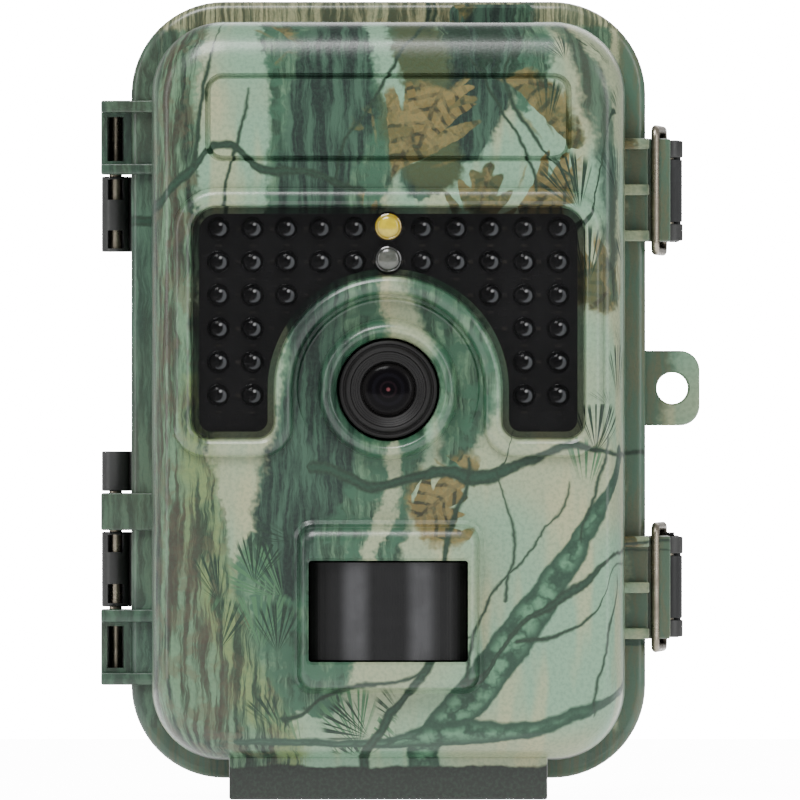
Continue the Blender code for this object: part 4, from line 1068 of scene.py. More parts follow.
class Graph:
    """Builds shader nodes from Python calls. Values are sockets or plain numbers."""

    def __init__(self, name):
        self.place = None
        self.material = bpy.data.materials.new(name)
        self.material.use_nodes = True
        self.tree = self.material.node_tree
        self.shader = self.tree.nodes["Principled BSDF"]

    def feed(self, socket, value):
        """Links a socket to an input, or sets a plain value on it."""
        if isinstance(value, bpy.types.NodeSocket):
            self.tree.links.new(value, socket)
        elif value is not None:
            socket.default_value = value

    def math(self, operation, a, b=None, c=None):
        """One Math node; times, minus, size and sine are its commonest uses."""
        node = self.tree.nodes.new("ShaderNodeMath")
        node.operation = operation
        for socket, value in zip(node.inputs, (a, b, c)):
            self.feed(socket, value)
        return node.outputs[0]

    def times(self, a, b):
        return self.math("MULTIPLY", a, b)

    def minus(self, a, b):
        return self.math("SUBTRACT", a, b)

    def size(self, value):
        """The value without its sign."""
        return self.math("ABSOLUTE", value)

    def sine(self, value):
        return self.math("SINE", value)

    def vector(self, operation, a, b=None, c=None, scale=None):
        """One Vector Math node."""
        node = self.tree.nodes.new("ShaderNodeVectorMath")
        node.operation = operation
        for socket, value in zip(node.inputs[:3], (a, b, c)):
            self.feed(socket, value)
        if scale is not None:
            self.feed(node.inputs["Scale"], scale)
        return node.outputs["Value" if operation in ("LENGTH", "DOT_PRODUCT", "DISTANCE") else "Vector"]

    def objects_place(self):
        """Object coordinates in millimetres, which are also the frame's."""
        if self.place is None:
            node = self.tree.nodes.new("ShaderNodeTexCoord")
            self.place = self.vector("SCALE", node.outputs["Object"], scale=1000.0)
        return self.place

    def split(self, vector):
        node = self.tree.nodes.new("ShaderNodeSeparateXYZ")
        self.feed(node.inputs[0], vector)
        return node.outputs

    def merge(self, x, y, z):
        node = self.tree.nodes.new("ShaderNodeCombineXYZ")
        for socket, value in zip(node.inputs, (x, y, z)):
            self.feed(socket, value)
        return node.outputs[0]

    def noise(self, place, scale, detail, roughness=0.55, colour=False, dimensions="3D"):
        node = self.tree.nodes.new("ShaderNodeTexNoise")
        node.noise_dimensions = dimensions
        self.feed(node.inputs["Vector"], place)
        node.inputs["Scale"].default_value = scale
        node.inputs["Detail"].default_value = detail
        node.inputs["Roughness"].default_value = roughness
        return node.outputs["Color" if colour else "Fac"]

    def cells(self, place, scale):
        """The distance to the nearest of the scattered points in a plane."""
        node = self.tree.nodes.new("ShaderNodeTexVoronoi")
        node.voronoi_dimensions = "2D"
        self.feed(node.inputs["Vector"], place)
        node.inputs["Scale"].default_value = scale
        return node.outputs["Distance"]

    def ramp(self, value, low, high, start=0.0, end=1.0):
        """A smooth step from start to end while the value goes from low to high."""
        node = self.tree.nodes.new("ShaderNodeMapRange")
        node.interpolation_type = "SMOOTHSTEP"
        for socket, given in zip(node.inputs[:5], (value, low, high, start, end)):
            self.feed(socket, given)
        return node.outputs[0]

    def mix(self, factor, first, second):
        """A colour between two others."""
        node = self.tree.nodes.new("ShaderNodeMix")
        node.data_type = "RGBA"
        self.feed(node.inputs["Factor"], factor)
        for socket, value in ((node.inputs["A"], first), (node.inputs["B"], second)):
            self.feed(socket, value if isinstance(value, bpy.types.NodeSocket) else (*value, 1.0))
        return node.outputs["Result"]

    def grade(self, colour, gamma, saturation, value):
        """Deepens a colour and sets its saturation."""
        deepen = self.tree.nodes.new("ShaderNodeGamma")
        self.feed(deepen.inputs["Color"], colour)
        deepen.inputs["Gamma"].default_value = gamma
        shift = self.tree.nodes.new("ShaderNodeHueSaturation")
        shift.inputs["Saturation"].default_value = saturation
        shift.inputs["Value"].default_value = value
        self.feed(shift.inputs["Color"], deepen.outputs[0])
        return shift.outputs[0]

    def bump(self, height, distance, strength):
        """Surface relief; the distance is in metres."""
        node = self.tree.nodes.new("ShaderNodeBump")
        node.inputs["Strength"].default_value = strength
        node.inputs["Distance"].default_value = distance
        self.feed(node.inputs["Height"], height)
        self.feed(self.shader.inputs["Normal"], node.outputs[0])

    def set(self, **values):
        """Feeds the shader's inputs, named with underscores for spaces, and gives the material."""
        for name, value in values.items():
            socket = self.shader.inputs[name.replace("_", " ")]
            if isinstance(value, tuple):
                value = (*value, 1.0)
            self.feed(socket, value)
        return self.material


def srgb(red, green, blue):
    """A linear colour from 8-bit display values."""
    linear = []
    for channel in (red, green, blue):
        value = channel / 255
        linear.append(value / 12.92 if value <= 0.04045 else ((value + 0.055) / 1.055) ** 2.4)
    return tuple(linear)


# The camouflage print: a woodland drawn in the XZ plane


# Millimetres: the print's unit, where the print folds back at the sides, how near to the border a
# stroke has to end to run on round the edge, and how far it then runs
PRINT_UNIT = 70.0
SIDE_X = 40.0
SIDE_Z = 63.0
BORDER_UP = 61.0
BORDER_ACROSS = 40.5
FOLD_REACH = 45.0


def scaled(*lengths):
    """Millimetres in the print's own unit, in which the whole front lies between -1 and 1."""
    return tuple(length / PRINT_UNIT for length in lengths)


class Woodland(Graph):
    """Trunks, branches, leaves and needles laid over a pale ground, one over the other."""

    def __init__(self, name):
        super().__init__(name)
        self.flat = self.wrapped()
        wobble = self.flat_noise(self.flat, 11.0, 3.0, colour=True)
        centred = self.vector("SUBTRACT", wobble, (0.5, 0.5, 0.5))
        self.drawn = self.vector("MULTIPLY_ADD", centred, (*scaled(4.2, 4.2), 0.0), self.flat)
        fine = self.flat_noise(self.flat, 62.0, 1.0, colour=True)
        ragged = self.vector("SUBTRACT", fine, (0.5, 0.5, 0.5))
        self.ragged = self.vector("MULTIPLY_ADD", ragged, (*scaled(1.6, 1.6), 0.0), self.drawn)
        self.sway = self.vector("MULTIPLY_ADD", centred, (*scaled(1.8, 1.8), 0.0), self.flat)
        self.guides = {}
        for edge, place in (("smooth", self.sway), ("wavy", self.drawn), ("rough", self.ragged)):
            across, up, _ = self.split(place)
            self.guides[edge, "up"] = (self.merge(up, up, 0.0), across)
            self.guides[edge, "across"] = (self.merge(across, across, 0.0), up)
        self.barks()
        self.colour = None

    def wrapped(self):
        """The print's own plane: the front as it is, and the sides, top and bottom folded out from it."""
        x, y, z = self.split(self.objects_place())
        flat = self.vector("SCALE", self.merge(x, z, 0.0), scale=1.0 / PRINT_UNIT)
        flat = self.vector("SUBTRACT", flat, (0.0, 1.0, 0.0))
        side = self.vector("MULTIPLY", flat, (PRINT_UNIT / SIDE_X, PRINT_UNIT / SIDE_Z, 0.0))
        side = self.vector("MAXIMUM", self.vector("MINIMUM", side, (1.0, 1.0, 1.0)), (-1.0, -1.0, -1.0))
        fold = self.vector("MULTIPLY", self.vector("MULTIPLY", side, side), side)
        depth = self.math("MAXIMUM", self.minus(y, BODY_FACE), 0.0)
        depth = self.math("DIVIDE", depth, PRINT_UNIT)
        return self.vector("ADD", flat, self.vector("SCALE", fold, scale=depth))

    def flat_noise(self, place, scale, detail, roughness=0.6, colour=False):
        """Noise in the print's own plane."""
        return self.noise(place, scale, detail, roughness, colour, "2D")

    def barks(self):
        """Tones that run in long streaks up the trunks."""
        along = self.vector("MULTIPLY", self.sway, (40.0, 3.6, 0.0))
        streaks = self.flat_noise(along, 1.0, 4.0, 0.66)
        knots = self.flat_noise(self.ragged, 17.0, 2.0, 0.65)
        self.streaks = streaks
        self.knots = knots
        cracks = self.ramp(streaks, 0.34, 0.44, 0.5, 0.0)
        tone = self.mix(self.ramp(streaks, 0.38, 0.64), BARK_DARK, BARK_LIGHT)
        bark = self.mix(self.ramp(knots, 0.46, 0.64, 0.0, 0.45), tone, BARK_BROWN)
        self.bark = self.mix(cracks, bark, BARK_CRACK)
        self.shade = self.mix(self.ramp(streaks, 0.38, 0.66), SHADE_DARK, SHADE_LIGHT)
        self.green = self.mix(self.ramp(knots, 0.36, 0.64, 0.2, 1.0), tone, GREEN)

    def course(self, points, edge="wavy", heading="up"):
        """The distance outside a stroke that runs up or across through (x, z, half width) points."""
        guide, sideways = self.guides[edge, heading]
        if heading == "up":
            border = BORDER_UP
            order = sorted((z - PRINT_UNIT, x, w) for x, z, w in points)
        else:
            border = BORDER_ACROSS
            order = sorted((x, z - PRINT_UNIT, w) for x, z, w in points)
        ends = []
        for (along, side, width), sign in ((order[0], -1), (order[-1], 1)):
            if along * sign >= border:
                ends.append((along + sign * FOLD_REACH, side, width))
            else:
                ends.append((along + sign * (0.8 + width * 0.6), side, -1.0))
        order = [ends[0], *order, ends[1]]
        node = self.tree.nodes.new("ShaderNodeVectorCurve")
        mapping = node.mapping
        mapping.use_clip = False
        for column in (0, 1):
            curve = mapping.curves[column]
            places = [(scaled(t)[0], scaled((side, width)[column])[0]) for t, side, width in order]
            for place in places[2:]:
                curve.points.new(*place)
            for point, place in zip(curve.points, sorted(places)):
                point.location = place
                point.handle_type = "AUTO_CLAMPED"
        mapping.update()
        self.feed(node.inputs["Vector"], guide)
        centre, half, _ = self.split(node.outputs[0])
        away = self.size(self.minus(sideways, centre))
        return self.minus(away, half)

    def mask(self, distance, blur):
        """1 inside a stroke and 0 outside, with an edge as soft as the blur in millimetres."""
        edge = scaled(blur)[0]
        return self.ramp(distance, -edge, edge, 1.0, 0.0)

    def lay(self, mask, colour):
        """Lays a colour over what is drawn so far, where the mask is 1."""
        self.colour = self.mix(mask, self.colour, colour)

    def patches(self, spots, blur):
        """A mask of soft round patches given as (x, z, radius), with ragged edges."""
        nearest = None
        for x, z, radius in spots:
            cx, cz, reach = scaled(x, z - PRINT_UNIT, radius)
            distance = self.minus(self.vector("DISTANCE", self.ragged, (cx, cz, 0.0)), reach)
            nearest = distance if nearest is None else self.math("MINIMUM", nearest, distance)
        return self.mask(nearest, blur)

    def scatter(self, ground, spacing, shift, turn):
        """Splits the print into cells: the place in each cell, turned at random, and the cell's tint."""
        node = self.tree.nodes.new("ShaderNodeTexVoronoi")
        node.voronoi_dimensions = "2D"
        node.inputs["Scale"].default_value = PRINT_UNIT / spacing
        node.inputs["Randomness"].default_value = 0.75
        place = self.vector("ADD", ground, (*scaled(*shift), 0.0))
        self.feed(node.inputs["Vector"], place)
        away = self.vector("SUBTRACT", place, node.outputs["Position"])
        tint, other, _ = self.split(node.outputs["Color"])
        rotate = self.tree.nodes.new("ShaderNodeVectorRotate")
        rotate.rotation_type = "Z_AXIS"
        self.feed(rotate.inputs["Vector"], away)
        self.feed(rotate.inputs["Angle"], self.math("MULTIPLY_ADD", other, turn[1], turn[0]))
        u, v, _ = self.split(rotate.outputs[0])
        return u, v, tint

    def leaves(self, region, spacing, shift, turn=(0.0, math.tau)):
        """Oak leaves in a region: a lobed outline about a midrib with side veins."""
        u, v, tint = self.scatter(self.sway, spacing, shift, turn)
        length = spacing / PRINT_UNIT
        u = self.math("MULTIPLY_ADD", u, 1.0 / length, 0.5)
        v = self.times(self.size(v), 1.0 / length)
        belly = self.sine(self.times(u, math.pi))
        slant = self.math("MULTIPLY_ADD", v, 1.3, u)
        lobes = self.sine(self.times(slant, 24.0))
        edge = self.times(belly, self.math("MULTIPLY_ADD", lobes, 0.12, 0.27))
        shape = self.ramp(self.minus(v, edge), -0.02, 0.02, 1.0, 0.0)
        shape = self.times(shape, region)
        veins = self.sine(self.math("MULTIPLY_ADD", v, -34.0, self.times(u, 48.0)))
        tone = self.mix(self.ramp(veins, 0.2, 0.9), LEAF, LEAF_DARK)
        tone = self.mix(self.ramp(tint, 0.25, 0.85, 0.0, 0.75), tone, LEAF_GREEN)
        tone = self.mix(self.ramp(v, 0.012, 0.03, 0.85, 0.0), tone, LEAF_DARK)
        tone = self.mix(self.ramp(self.knots, 0.42, 0.60, 0.0, 0.6), tone, LEAF_LIGHT)
        self.lay(shape, tone)

    def needles(self, region, spacing, shift, turn, colour):
        """Fans of pine needles in a region."""
        u, v, tint = self.scatter(self.flat, spacing, shift, turn)
        limit = spacing / PRINT_UNIT
        reach = self.vector("LENGTH", self.merge(u, v, 0.0))
        u = self.math("ADD", u, limit * 0.42)
        bearing = self.math("ARCTAN2", v, u)
        lines = self.sine(self.math("MULTIPLY_ADD", tint, 9.0, self.times(bearing, 23.0)))
        second = self.sine(self.times(bearing, 37.0))
        strokes = self.ramp(self.math("MAXIMUM", lines, second), 0.62, 0.86)
        fan = self.ramp(self.size(bearing), 0.5, 0.8, 1.0, 0.0)
        near = self.ramp(reach, limit * 0.3, limit * 0.44, 1.0, 0.0)
        shape = self.times(self.times(strokes, fan), self.times(near, region))
        self.lay(shape, colour)


SAGE = srgb(160, 168, 140)
SAGE_COOL = srgb(136, 168, 144)
SAGE_WARM = srgb(176, 174, 140)
BARK_DARK = srgb(44, 70, 54)
BARK_LIGHT = srgb(116, 146, 118)
BARK_BROWN = srgb(112, 100, 78)
BARK_CRACK = srgb(34, 46, 36)
SHADE_DARK = srgb(30, 56, 48)
SHADE_LIGHT = srgb(76, 108, 90)
GREEN = srgb(70, 110, 88)
MOSS = srgb(128, 144, 96)
DUSK = srgb(92, 84, 70)
LEAF = srgb(124, 112, 66)
LEAF_DARK = srgb(70, 70, 44)
LEAF_LIGHT = srgb(146, 134, 88)
LEAF_GREEN = srgb(82, 94, 62)
# Painted shade for the foot, which sits in shadow under the body
FOOT_PAINTED_SHADE = srgb(38, 48, 38)
FLANGE_TONE = srgb(98, 104, 80)
BOUGH_LIGHT = srgb(104, 146, 118)
BOUGH_DARK = srgb(48, 84, 66)
TWIG = srgb(46, 72, 54)
NEEDLE = srgb(32, 66, 48)
NEEDLE_PALE = srgb(84, 126, 92)


def woodland_print():
    """The finished print on its film, slightly glossy, with the fine relief of a dipped coating."""
    art = Woodland("camouflage_print")
    art.colour = art.mix(art.ramp(art.flat_noise(art.flat, 2.4, 1.0), 0.38, 0.62), SAGE_COOL, SAGE)
    haze = art.flat_noise(art.vector("MULTIPLY", art.flat, (9.0, 1.6, 0.0)), 1.0, 2.0)
    art.lay(art.ramp(haze, 0.50, 0.66, 0.0, 0.6), SAGE_WARM)
    trunks(art)
    undergrowth(art)
    edges(art)
    boughs(art)
    # Painted shade: a dark band across the foot
    foot = art.course(((-38, -4.6, 5.8), (0, -4.6, 5.8), (38, -4.6, 5.8)), "smooth", "across")
    art.lay(art.mask(foot, 0.3), FOOT_PAINTED_SHADE)
    art.lay(art.ramp(art.flat_noise(art.flat, 105.0, 1.0), 0.35, 0.75, 0.0, 0.2), SHADE_LIGHT)
    grain = art.noise(art.objects_place(), 2.6, 1.0)
    art.bump(grain, 0.00006, 0.35)
    art.set(Specular_IOR_Level=0.4, Coat_Weight=0.25, Coat_Roughness=0.14)
    finished = art.grade(art.colour, 1.38, 0.92, 0.95)
    return art.set(Base_Color=finished, Roughness=art.ramp(grain, 0.3, 0.7, 0.30, 0.42))


def trunks(art):
    """Green and shaded trunks at the back, then the rough one that leans in on the left."""
    leaning = ((-9, 142, 14), (-8, 120, 12.5), (-11, 98, 10), (-9, 74, 9), (-11, 56, 9))
    leaning += ((-15, 40, 11), (-22, 18, 8), (-28, 6, 7))
    hollow = ((-8, 142, 5), (-10, 118, 7), (-14, 96, 6), (-12, 74, 5))
    hollow += ((-13, 58, 8), (-17, 46, 6), (-16, 36, 3))
    rough = ((-44, 142, 12), (-43, 110, 10.5), (-44, 84, 11.5), (-43, 60, 12))
    rough += ((-41, 44, 14), (-37, 26, 14), (-30, 8, 14))
    for points, tone, blur in (
        (leaning, art.green, 0.7),
        (hollow, art.shade, 1.2),
        (((17, 142, 8), (16, 126, 7), (11, 112, 6), (6, 104, 3)), art.shade, 1.0),
        (((2, 64, 4), (-1, 50, 4.5), (-5, 34, 5), (-12, 16, 4)), art.green, 0.8),
        (((11, 57, 2), (13.5, 68, 4.6), (12, 80, 5.4), (7, 90, 4)), art.green, 1.4),
        (((4, 142, 3), (5, 128, 5), (4, 116, 5.5), (8, 106, 4)), LEAF_GREEN, 1.6),
        (((27, 142, 2.4), (25, 128, 3.0), (23, 118, 1.2)), art.green, 0.9),
        (((-2, 139, 1.6), (0, 124, 1.6), (4, 110, 2.2)), SAGE_COOL, 0.8),
        (((1, 61, 0.8), (0, 50, 1.5), (-4, 38, 0.6)), SAGE, 0.6),
        (rough, art.bark, 0.6),
    ):
        art.lay(art.mask(art.course(points, "rough"), blur), tone)
    lit = ((-33, 72, 1.6), (-32, 52, 2.6), (-29, 34, 3.2), (-23, 18, 3.6), (-17, 7, 2.5))
    lit = art.mask(art.course(lit), 1.8)
    art.lay(art.times(lit, art.ramp(art.streaks, 0.42, 0.58, 0.1, 0.9)), MOSS)
    dusk = ((-39, 142, 2.2), (-38, 100, 2.8), (-39, 70, 3), (-36, 40, 4.5), (-31, 12, 4))
    dusk = art.mask(art.course(dusk), 2.0)
    art.lay(art.times(dusk, art.ramp(art.streaks, 0.56, 0.44, 0.1, 0.65)), DUSK)


def edges(art):
    """What the sides show, painted shade round the outside (over the foot and up both flanges) and painted
    light along the top.
    """
    # rim is a painted shade tone for the flange edges; lighter is painted light for the top flange
    rim = art.mix(art.ramp(art.streaks, 0.40, 0.62), SHADE_LIGHT, FLANGE_TONE)
    lighter = art.mix(art.ramp(art.streaks, 0.40, 0.62), FLANGE_TONE, SAGE_WARM)
    for points, heading, tone, blur in (
        (((58, -6, 5), (55, 30, 4), (57, 66, 6), (54, 100, 5), (57, 140, 7)), "up", art.green, 1.2),
        (((-62, -6, 4), (-60, 30, 6), (-62, 70, 5), (-59, 110, 7), (-62, 140, 5)), "up", art.shade, 1.4),
        (((77, 2, 9), (76, 60, 7), (77, 86, 9), (77, 140, 9)), "up", rim, 1.6),
        (((-78, 2, 12), (-78, 60, 11), (-78, 100, 12), (-78, 140, 11)), "up", art.shade, 1.2),
        (((-46, 169, 9), (-10, 170, 9), (12, 169, 9.5), (46, 170, 9)), "across", lighter, 1.4),
        (((-46, -28, 17), (0, -28, 18), (46, -28, 17)), "across", rim, 1.4),
        (((39, 86, 1.2), (38.5, 104, 2.2), (35, 124, 2.8), (31, 137, 1.5)), "up", art.shade, 1.2),
    ):
        art.lay(art.times(art.mask(art.course(points, "rough", heading), blur), 0.85), tone)


def undergrowth(art):
    """Leaf masses and needle fans."""
    drape = art.flat_noise(art.vector("MULTIPLY", art.drawn, (40.0, 5.0, 0.0)), 1.0, 2.0)
    fringe = art.patches(((14, 136, 7), (18, 128, 6)), 3.0)
    art.lay(art.times(fringe, art.ramp(drape, 0.44, 0.56)), NEEDLE)
    crown_spots = ((5, 110, 12), (20, 112, 13), (26, 104, 6), (-20, 131, 5), (37, 90, 6), (11, 51, 8))
    crown_spots += ((4, 156, 12), (57, 118, 9), (59, 40, 8), (-56, 84, 8))
    crown = art.patches(crown_spots, 1.0)
    art.leaves(crown, 25.0, (4.0, 9.0))
    art.leaves(crown, 18.0, (31.0, 27.0), (1.0, 3.0))
    side_growth = art.patches(((33, 124, 8), (35, 108, 7), (37, 92, 7), (38, 74, 6), (24, 103, 6)), 2.0)
    art.needles(side_growth, 13.0, (3.0, 6.0), (4.1, 0.9), NEEDLE)
    low_growth = art.patches(((-17, 26, 12), (-8, 14, 9), (-24, 40, 8), (37, 62, 7)), 2.0)
    art.needles(low_growth, 14.0, (12.0, 5.0), (3.8, 1.2), NEEDLE_PALE)
    art.needles(low_growth, 11.0, (2.0, 14.0), (3.5, 1.5), NEEDLE)


def boughs(art):
    """Thick boughs with spotted bark, then bare twigs."""
    spots = art.cells(art.ragged, 26.0)
    spotted = art.mix(art.ramp(spots, 0.15, 0.7), BOUGH_LIGHT, BOUGH_DARK)
    rising = ((6, 7, 2.6), (12, 15, 4.2), (19, 24, 4.2), (26, 34, 3.4))
    rising += ((32, 43, 2.4), (36, 50, 1.6), (42, 60, 1.1))
    for points, heading in (
        (rising, "up"),
        (((-26, 9.5, 0.7), (-4, 9, 1.2), (10, 11, 2.4), (24, 12, 1.6), (42, 17, 0.9)), "across"),
    ):
        distance = art.course(points, "smooth", heading)
        tone = art.mix(art.ramp(distance, *scaled(-2.4, -0.2)), spotted, BOUGH_DARK)
        art.lay(art.mask(distance, 0.35), tone)
    middle_branch = ((-13, 57, 1.1), (-2, 53.5, 0.9), (8, 56, 1.0), (16, 55, 1.2))
    middle_branch += ((24, 58, 0.8), (32, 60.5, 0.6), (42, 59, 0.4))
    upper_branch = ((-42, 102, 1.2), (-34, 107, 1.0), (-28, 112, 0.7))
    upper_branch += ((-22, 108, 0.8), (-13, 107, 0.7), (-4, 104, 0.5))
    for points, heading in (
        (middle_branch, "across"),
        (upper_branch, "across"),
        (((13, 20, 1.0), (22, 29, 0.6), (32, 36, 0.9), (41, 42, 0.3)), "across"),
        (((24, 94, 0.3), (29, 96, 0.5), (34, 99, 0.8), (36, 107, 0.7), (40, 118, 0.4)), "across"),
        (((-4, 4, 0.9), (8, 26, 0.8), (10, 44, 0.5), (14, 58, 0.2)), "up"),
    ):
        distance = art.course(points, "smooth", heading)
        art.lay(art.mask(distance, 0.3), art.mix(art.ramp(distance, *scaled(-1.0, -0.3)), BOUGH_DARK, TWIG))
    twigs = (
        (((13.5, 20, 0.32), (17, 34, 0.3), (25, 44, 0.25), (31, 54, 0.12)), "up"),
        (((20, 34, 0.28), (21.5, 46, 0.22), (18.5, 56, 0.1)), "up"),
        (((22, 27, 0.4), (34, 31, 0.3), (41, 40, 0.15)), "across"),
        (((35, 14, 0.15), (38, 28, 0.28), (41, 38, 0.12)), "up"),
        (((-18, 14, 0.4), (-8, 19, 0.38), (4, 21, 0.28), (15, 28, 0.12)), "across"),
        (((-33, 108, 0.42), (-31.5, 122, 0.35), (-30, 134, 0.12)), "up"),
        (((-29, 92, 0.22), (-27, 108, 0.32), (-24, 122, 0.12)), "up"),
        (((-9, 106, 0.25), (0, 124, 0.32), (7, 141, 0.4)), "up"),
        (((25, 104, 0.25), (17, 122, 0.32), (8, 139, 0.2)), "up"),
        (((32, 104, 0.2), (25, 113, 0.32), (20, 124, 0.3), (24, 136, 0.12)), "up"),
        (((18, 56, 0.3), (23, 66, 0.18), (30, 73, 0.08)), "across"),
        (((33, 44, 0.2), (35, 52, 0.28), (38, 62, 0.12)), "up"),
    )
    nearest = None
    for points, heading in twigs:
        distance = art.course(points, "smooth", heading)
        nearest = distance if nearest is None else art.math("MINIMUM", nearest, distance)
    art.lay(art.mask(nearest, 0.28), TWIG)


# Materials of the other pieces


def moulded(name, colour, deep, rough, grain=1.2, relief=0.00005, shine=0.5):
    """Moulded plastic: a fine spark-eroded texture, slight drift in tone, and duller handled patches."""
    look = Graph(name)
    place = look.objects_place()
    fine = look.noise(place, grain, 2.0, 0.6)
    broad = look.noise(place, 0.05, 2.0)
    tone = look.mix(look.ramp(broad, 0.35, 0.65), deep, colour)
    tone = look.mix(look.ramp(fine, 0.35, 0.75, 0.0, 0.25), tone, deep)
    handled = look.ramp(broad, 0.42, 0.62, rough - 0.08, rough + 0.08)
    look.bump(fine, relief, 0.5)
    look.set(Specular_IOR_Level=shine)
    return look.set(Base_Color=tone, Roughness=look.math("MULTIPLY_ADD", fine, 0.08, handled))


def metal(name, colour, dark, rough, stretch=(0.6, 0.6, 6.0)):
    """Drawn or pressed metal: fine lines along one axis, and faint dull patches."""
    look = Graph(name)
    place = look.objects_place()
    lines = look.noise(look.vector("MULTIPLY", place, stretch), 1.0, 3.0, 0.65)
    stains = look.noise(place, 0.35, 3.0)
    tone = look.mix(look.ramp(stains, 0.40, 0.70, 0.0, 0.6), colour, dark)
    tone = look.mix(look.ramp(lines, 0.35, 0.65, 0.0, 0.25), tone, dark)
    look.bump(lines, 0.00003, 0.4)
    rougher = look.ramp(stains, 0.35, 0.7, rough, rough + 0.16)
    look.set(Metallic=1.0)
    return look.set(Base_Color=tone, Roughness=rougher)


def smoked_glass():
    """The window's glossy black film: clear enough to show the LEDs dimly, with faint haze."""
    look = Graph("smoked_window")
    haze = look.noise(look.objects_place(), 0.08, 1.0)
    tone = look.mix(look.ramp(haze, 0.35, 0.65), srgb(6, 6, 7), srgb(13, 13, 14))
    look.set(Alpha=0.36, Specular_IOR_Level=0.22)
    return look.set(Base_Color=tone, Roughness=look.ramp(haze, 0.35, 0.65, 0.07, 0.1))


def led_lens():
    """Black LED domes, each with a painted reflection as a pale crescent on one side and a small painted
    highlight above.
    """
    look = Graph("infrared_dome")
    x, _, z = look.split(look.objects_place())
    across = look.math("WRAP", x, 0.5 * LED_PITCH_X, -0.5 * LED_PITCH_X)
    up = look.math("WRAP", look.minus(z, LED_LOW), 0.5 * LED_PITCH_Z, -0.5 * LED_PITCH_Z)
    swirl = look.noise(look.objects_place(), 0.6, 2.0)
    tone = look.mix(look.ramp(swirl, 0.35, 0.65), srgb(4, 4, 5), srgb(12, 11, 12))
    # Painted reflection: a pale crescent on each dome
    outer = look.vector("DISTANCE", look.merge(across, up, 0.0), (0.25, -0.1, 0.0))
    inner = look.vector("DISTANCE", look.merge(across, up, 0.0), (-0.35, 0.15, 0.0))
    painted_crescent = look.times(look.ramp(outer, 1.0, 1.25, 1.0, 0.0), look.ramp(inner, 0.95, 1.3))
    tone = look.mix(look.times(painted_crescent, 0.8), tone, srgb(150, 154, 158))
    # Painted highlight: a small white spot on each dome
    painted_glint = look.vector("DISTANCE", look.merge(across, up, 0.0), (0.35, 0.7, 0.0))
    tone = look.mix(look.ramp(painted_glint, 0.14, 0.34, 1.0, 0.0), tone, srgb(250, 250, 250))
    look.set(Specular_IOR_Level=0.3)
    return look.set(Base_Color=tone, Roughness=look.ramp(swirl, 0.3, 0.7, 0.12, 0.2))


def board(name, colour, copper):
    """A circuit board: solder mask over a grid of tracks, with pads and the glass weave beneath."""
    look = Graph(name)
    x, _, z = look.split(look.objects_place())
    tracks = look.cells(look.merge(look.times(x, 0.30), look.times(z, 1.1), 0.0), 1.0)
    cross = look.cells(look.merge(look.times(x, 1.2), look.times(z, 0.26), 0.0), 1.0)
    tracks = look.ramp(tracks, 0.10, 0.16, 1.0, 0.0)
    lines = look.math("MAXIMUM", tracks, look.ramp(cross, 0.07, 0.12, 1.0, 0.0))
    weave_x = look.sine(look.times(x, 9.0))
    weave_z = look.sine(look.times(z, 9.0))
    weave = look.times(weave_x, weave_z)
    tone = look.mix(look.times(lines, 0.8), colour, copper)
    tone = look.mix(look.ramp(weave, -1.0, 1.0, 0.0, 0.2), tone, (0.0, 0.0, 0.0))
    look.bump(look.math("ADD", lines, look.times(weave, 0.1)), 0.00004, 0.6)
    return look.set(Base_Color=tone, Roughness=look.ramp(lines, 0.0, 1.0, 0.45, 0.28))


def indicator_look(name, colour, edge, node_z, glow):
    """A diffusing dome that is lighter in its middle and darker towards its rim."""
    look = Graph(name)
    x, _, z = look.split(look.objects_place())
    away = look.vector("LENGTH", look.merge(x, look.minus(z, node_z), 0.0))
    cloud = look.noise(look.objects_place(), 0.9, 2.0)
    tone = look.mix(look.ramp(away, 1.2, 2.2), colour, edge)
    tone = look.mix(look.ramp(cloud, 0.4, 0.7, 0.0, 0.35), tone, edge)
    look.set(Coat_Weight=0.35, Coat_Roughness=0.05, Subsurface_Weight=glow, Subsurface_Scale=0.001)
    return look.set(Base_Color=tone, Roughness=look.ramp(cloud, 0.3, 0.7, 0.12, 0.22))


def lens_glass_look():
    """Coated front glass: near black, with the rings of the elements behind it and a small red pupil, with a
    painted red reflection at its centre.
    """
    look = Graph("coated_glass")
    x, _, z = look.split(look.objects_place())
    away = look.vector("LENGTH", look.merge(x, look.minus(z, LENS_Z), 0.0))
    tone = look.mix(look.ramp(away, 3.3, 4.3), srgb(7, 6, 8), srgb(26, 25, 25))
    ring = look.ramp(look.size(look.minus(away, 2.5)), 0.1, 0.5, 1.0, 0.0)
    tone = look.mix(look.times(ring, 0.5), tone, srgb(18, 17, 22))
    pupil = look.ramp(look.size(look.minus(away, 1.3)), 0.05, 0.3, 1.0, 0.0)
    tone = look.mix(look.times(pupil, 0.6), tone, srgb(26, 18, 22))
    # Painted reflection: a brighter red spot at the very centre
    tone = look.mix(look.ramp(away, 0.15, 0.45, 1.0, 0.0), tone, srgb(92, 50, 54))
    look.set(Specular_IOR_Level=0.06)
    return look.set(Base_Color=tone, Roughness=look.ramp(away, 2.0, 4.5, 0.12, 0.18))


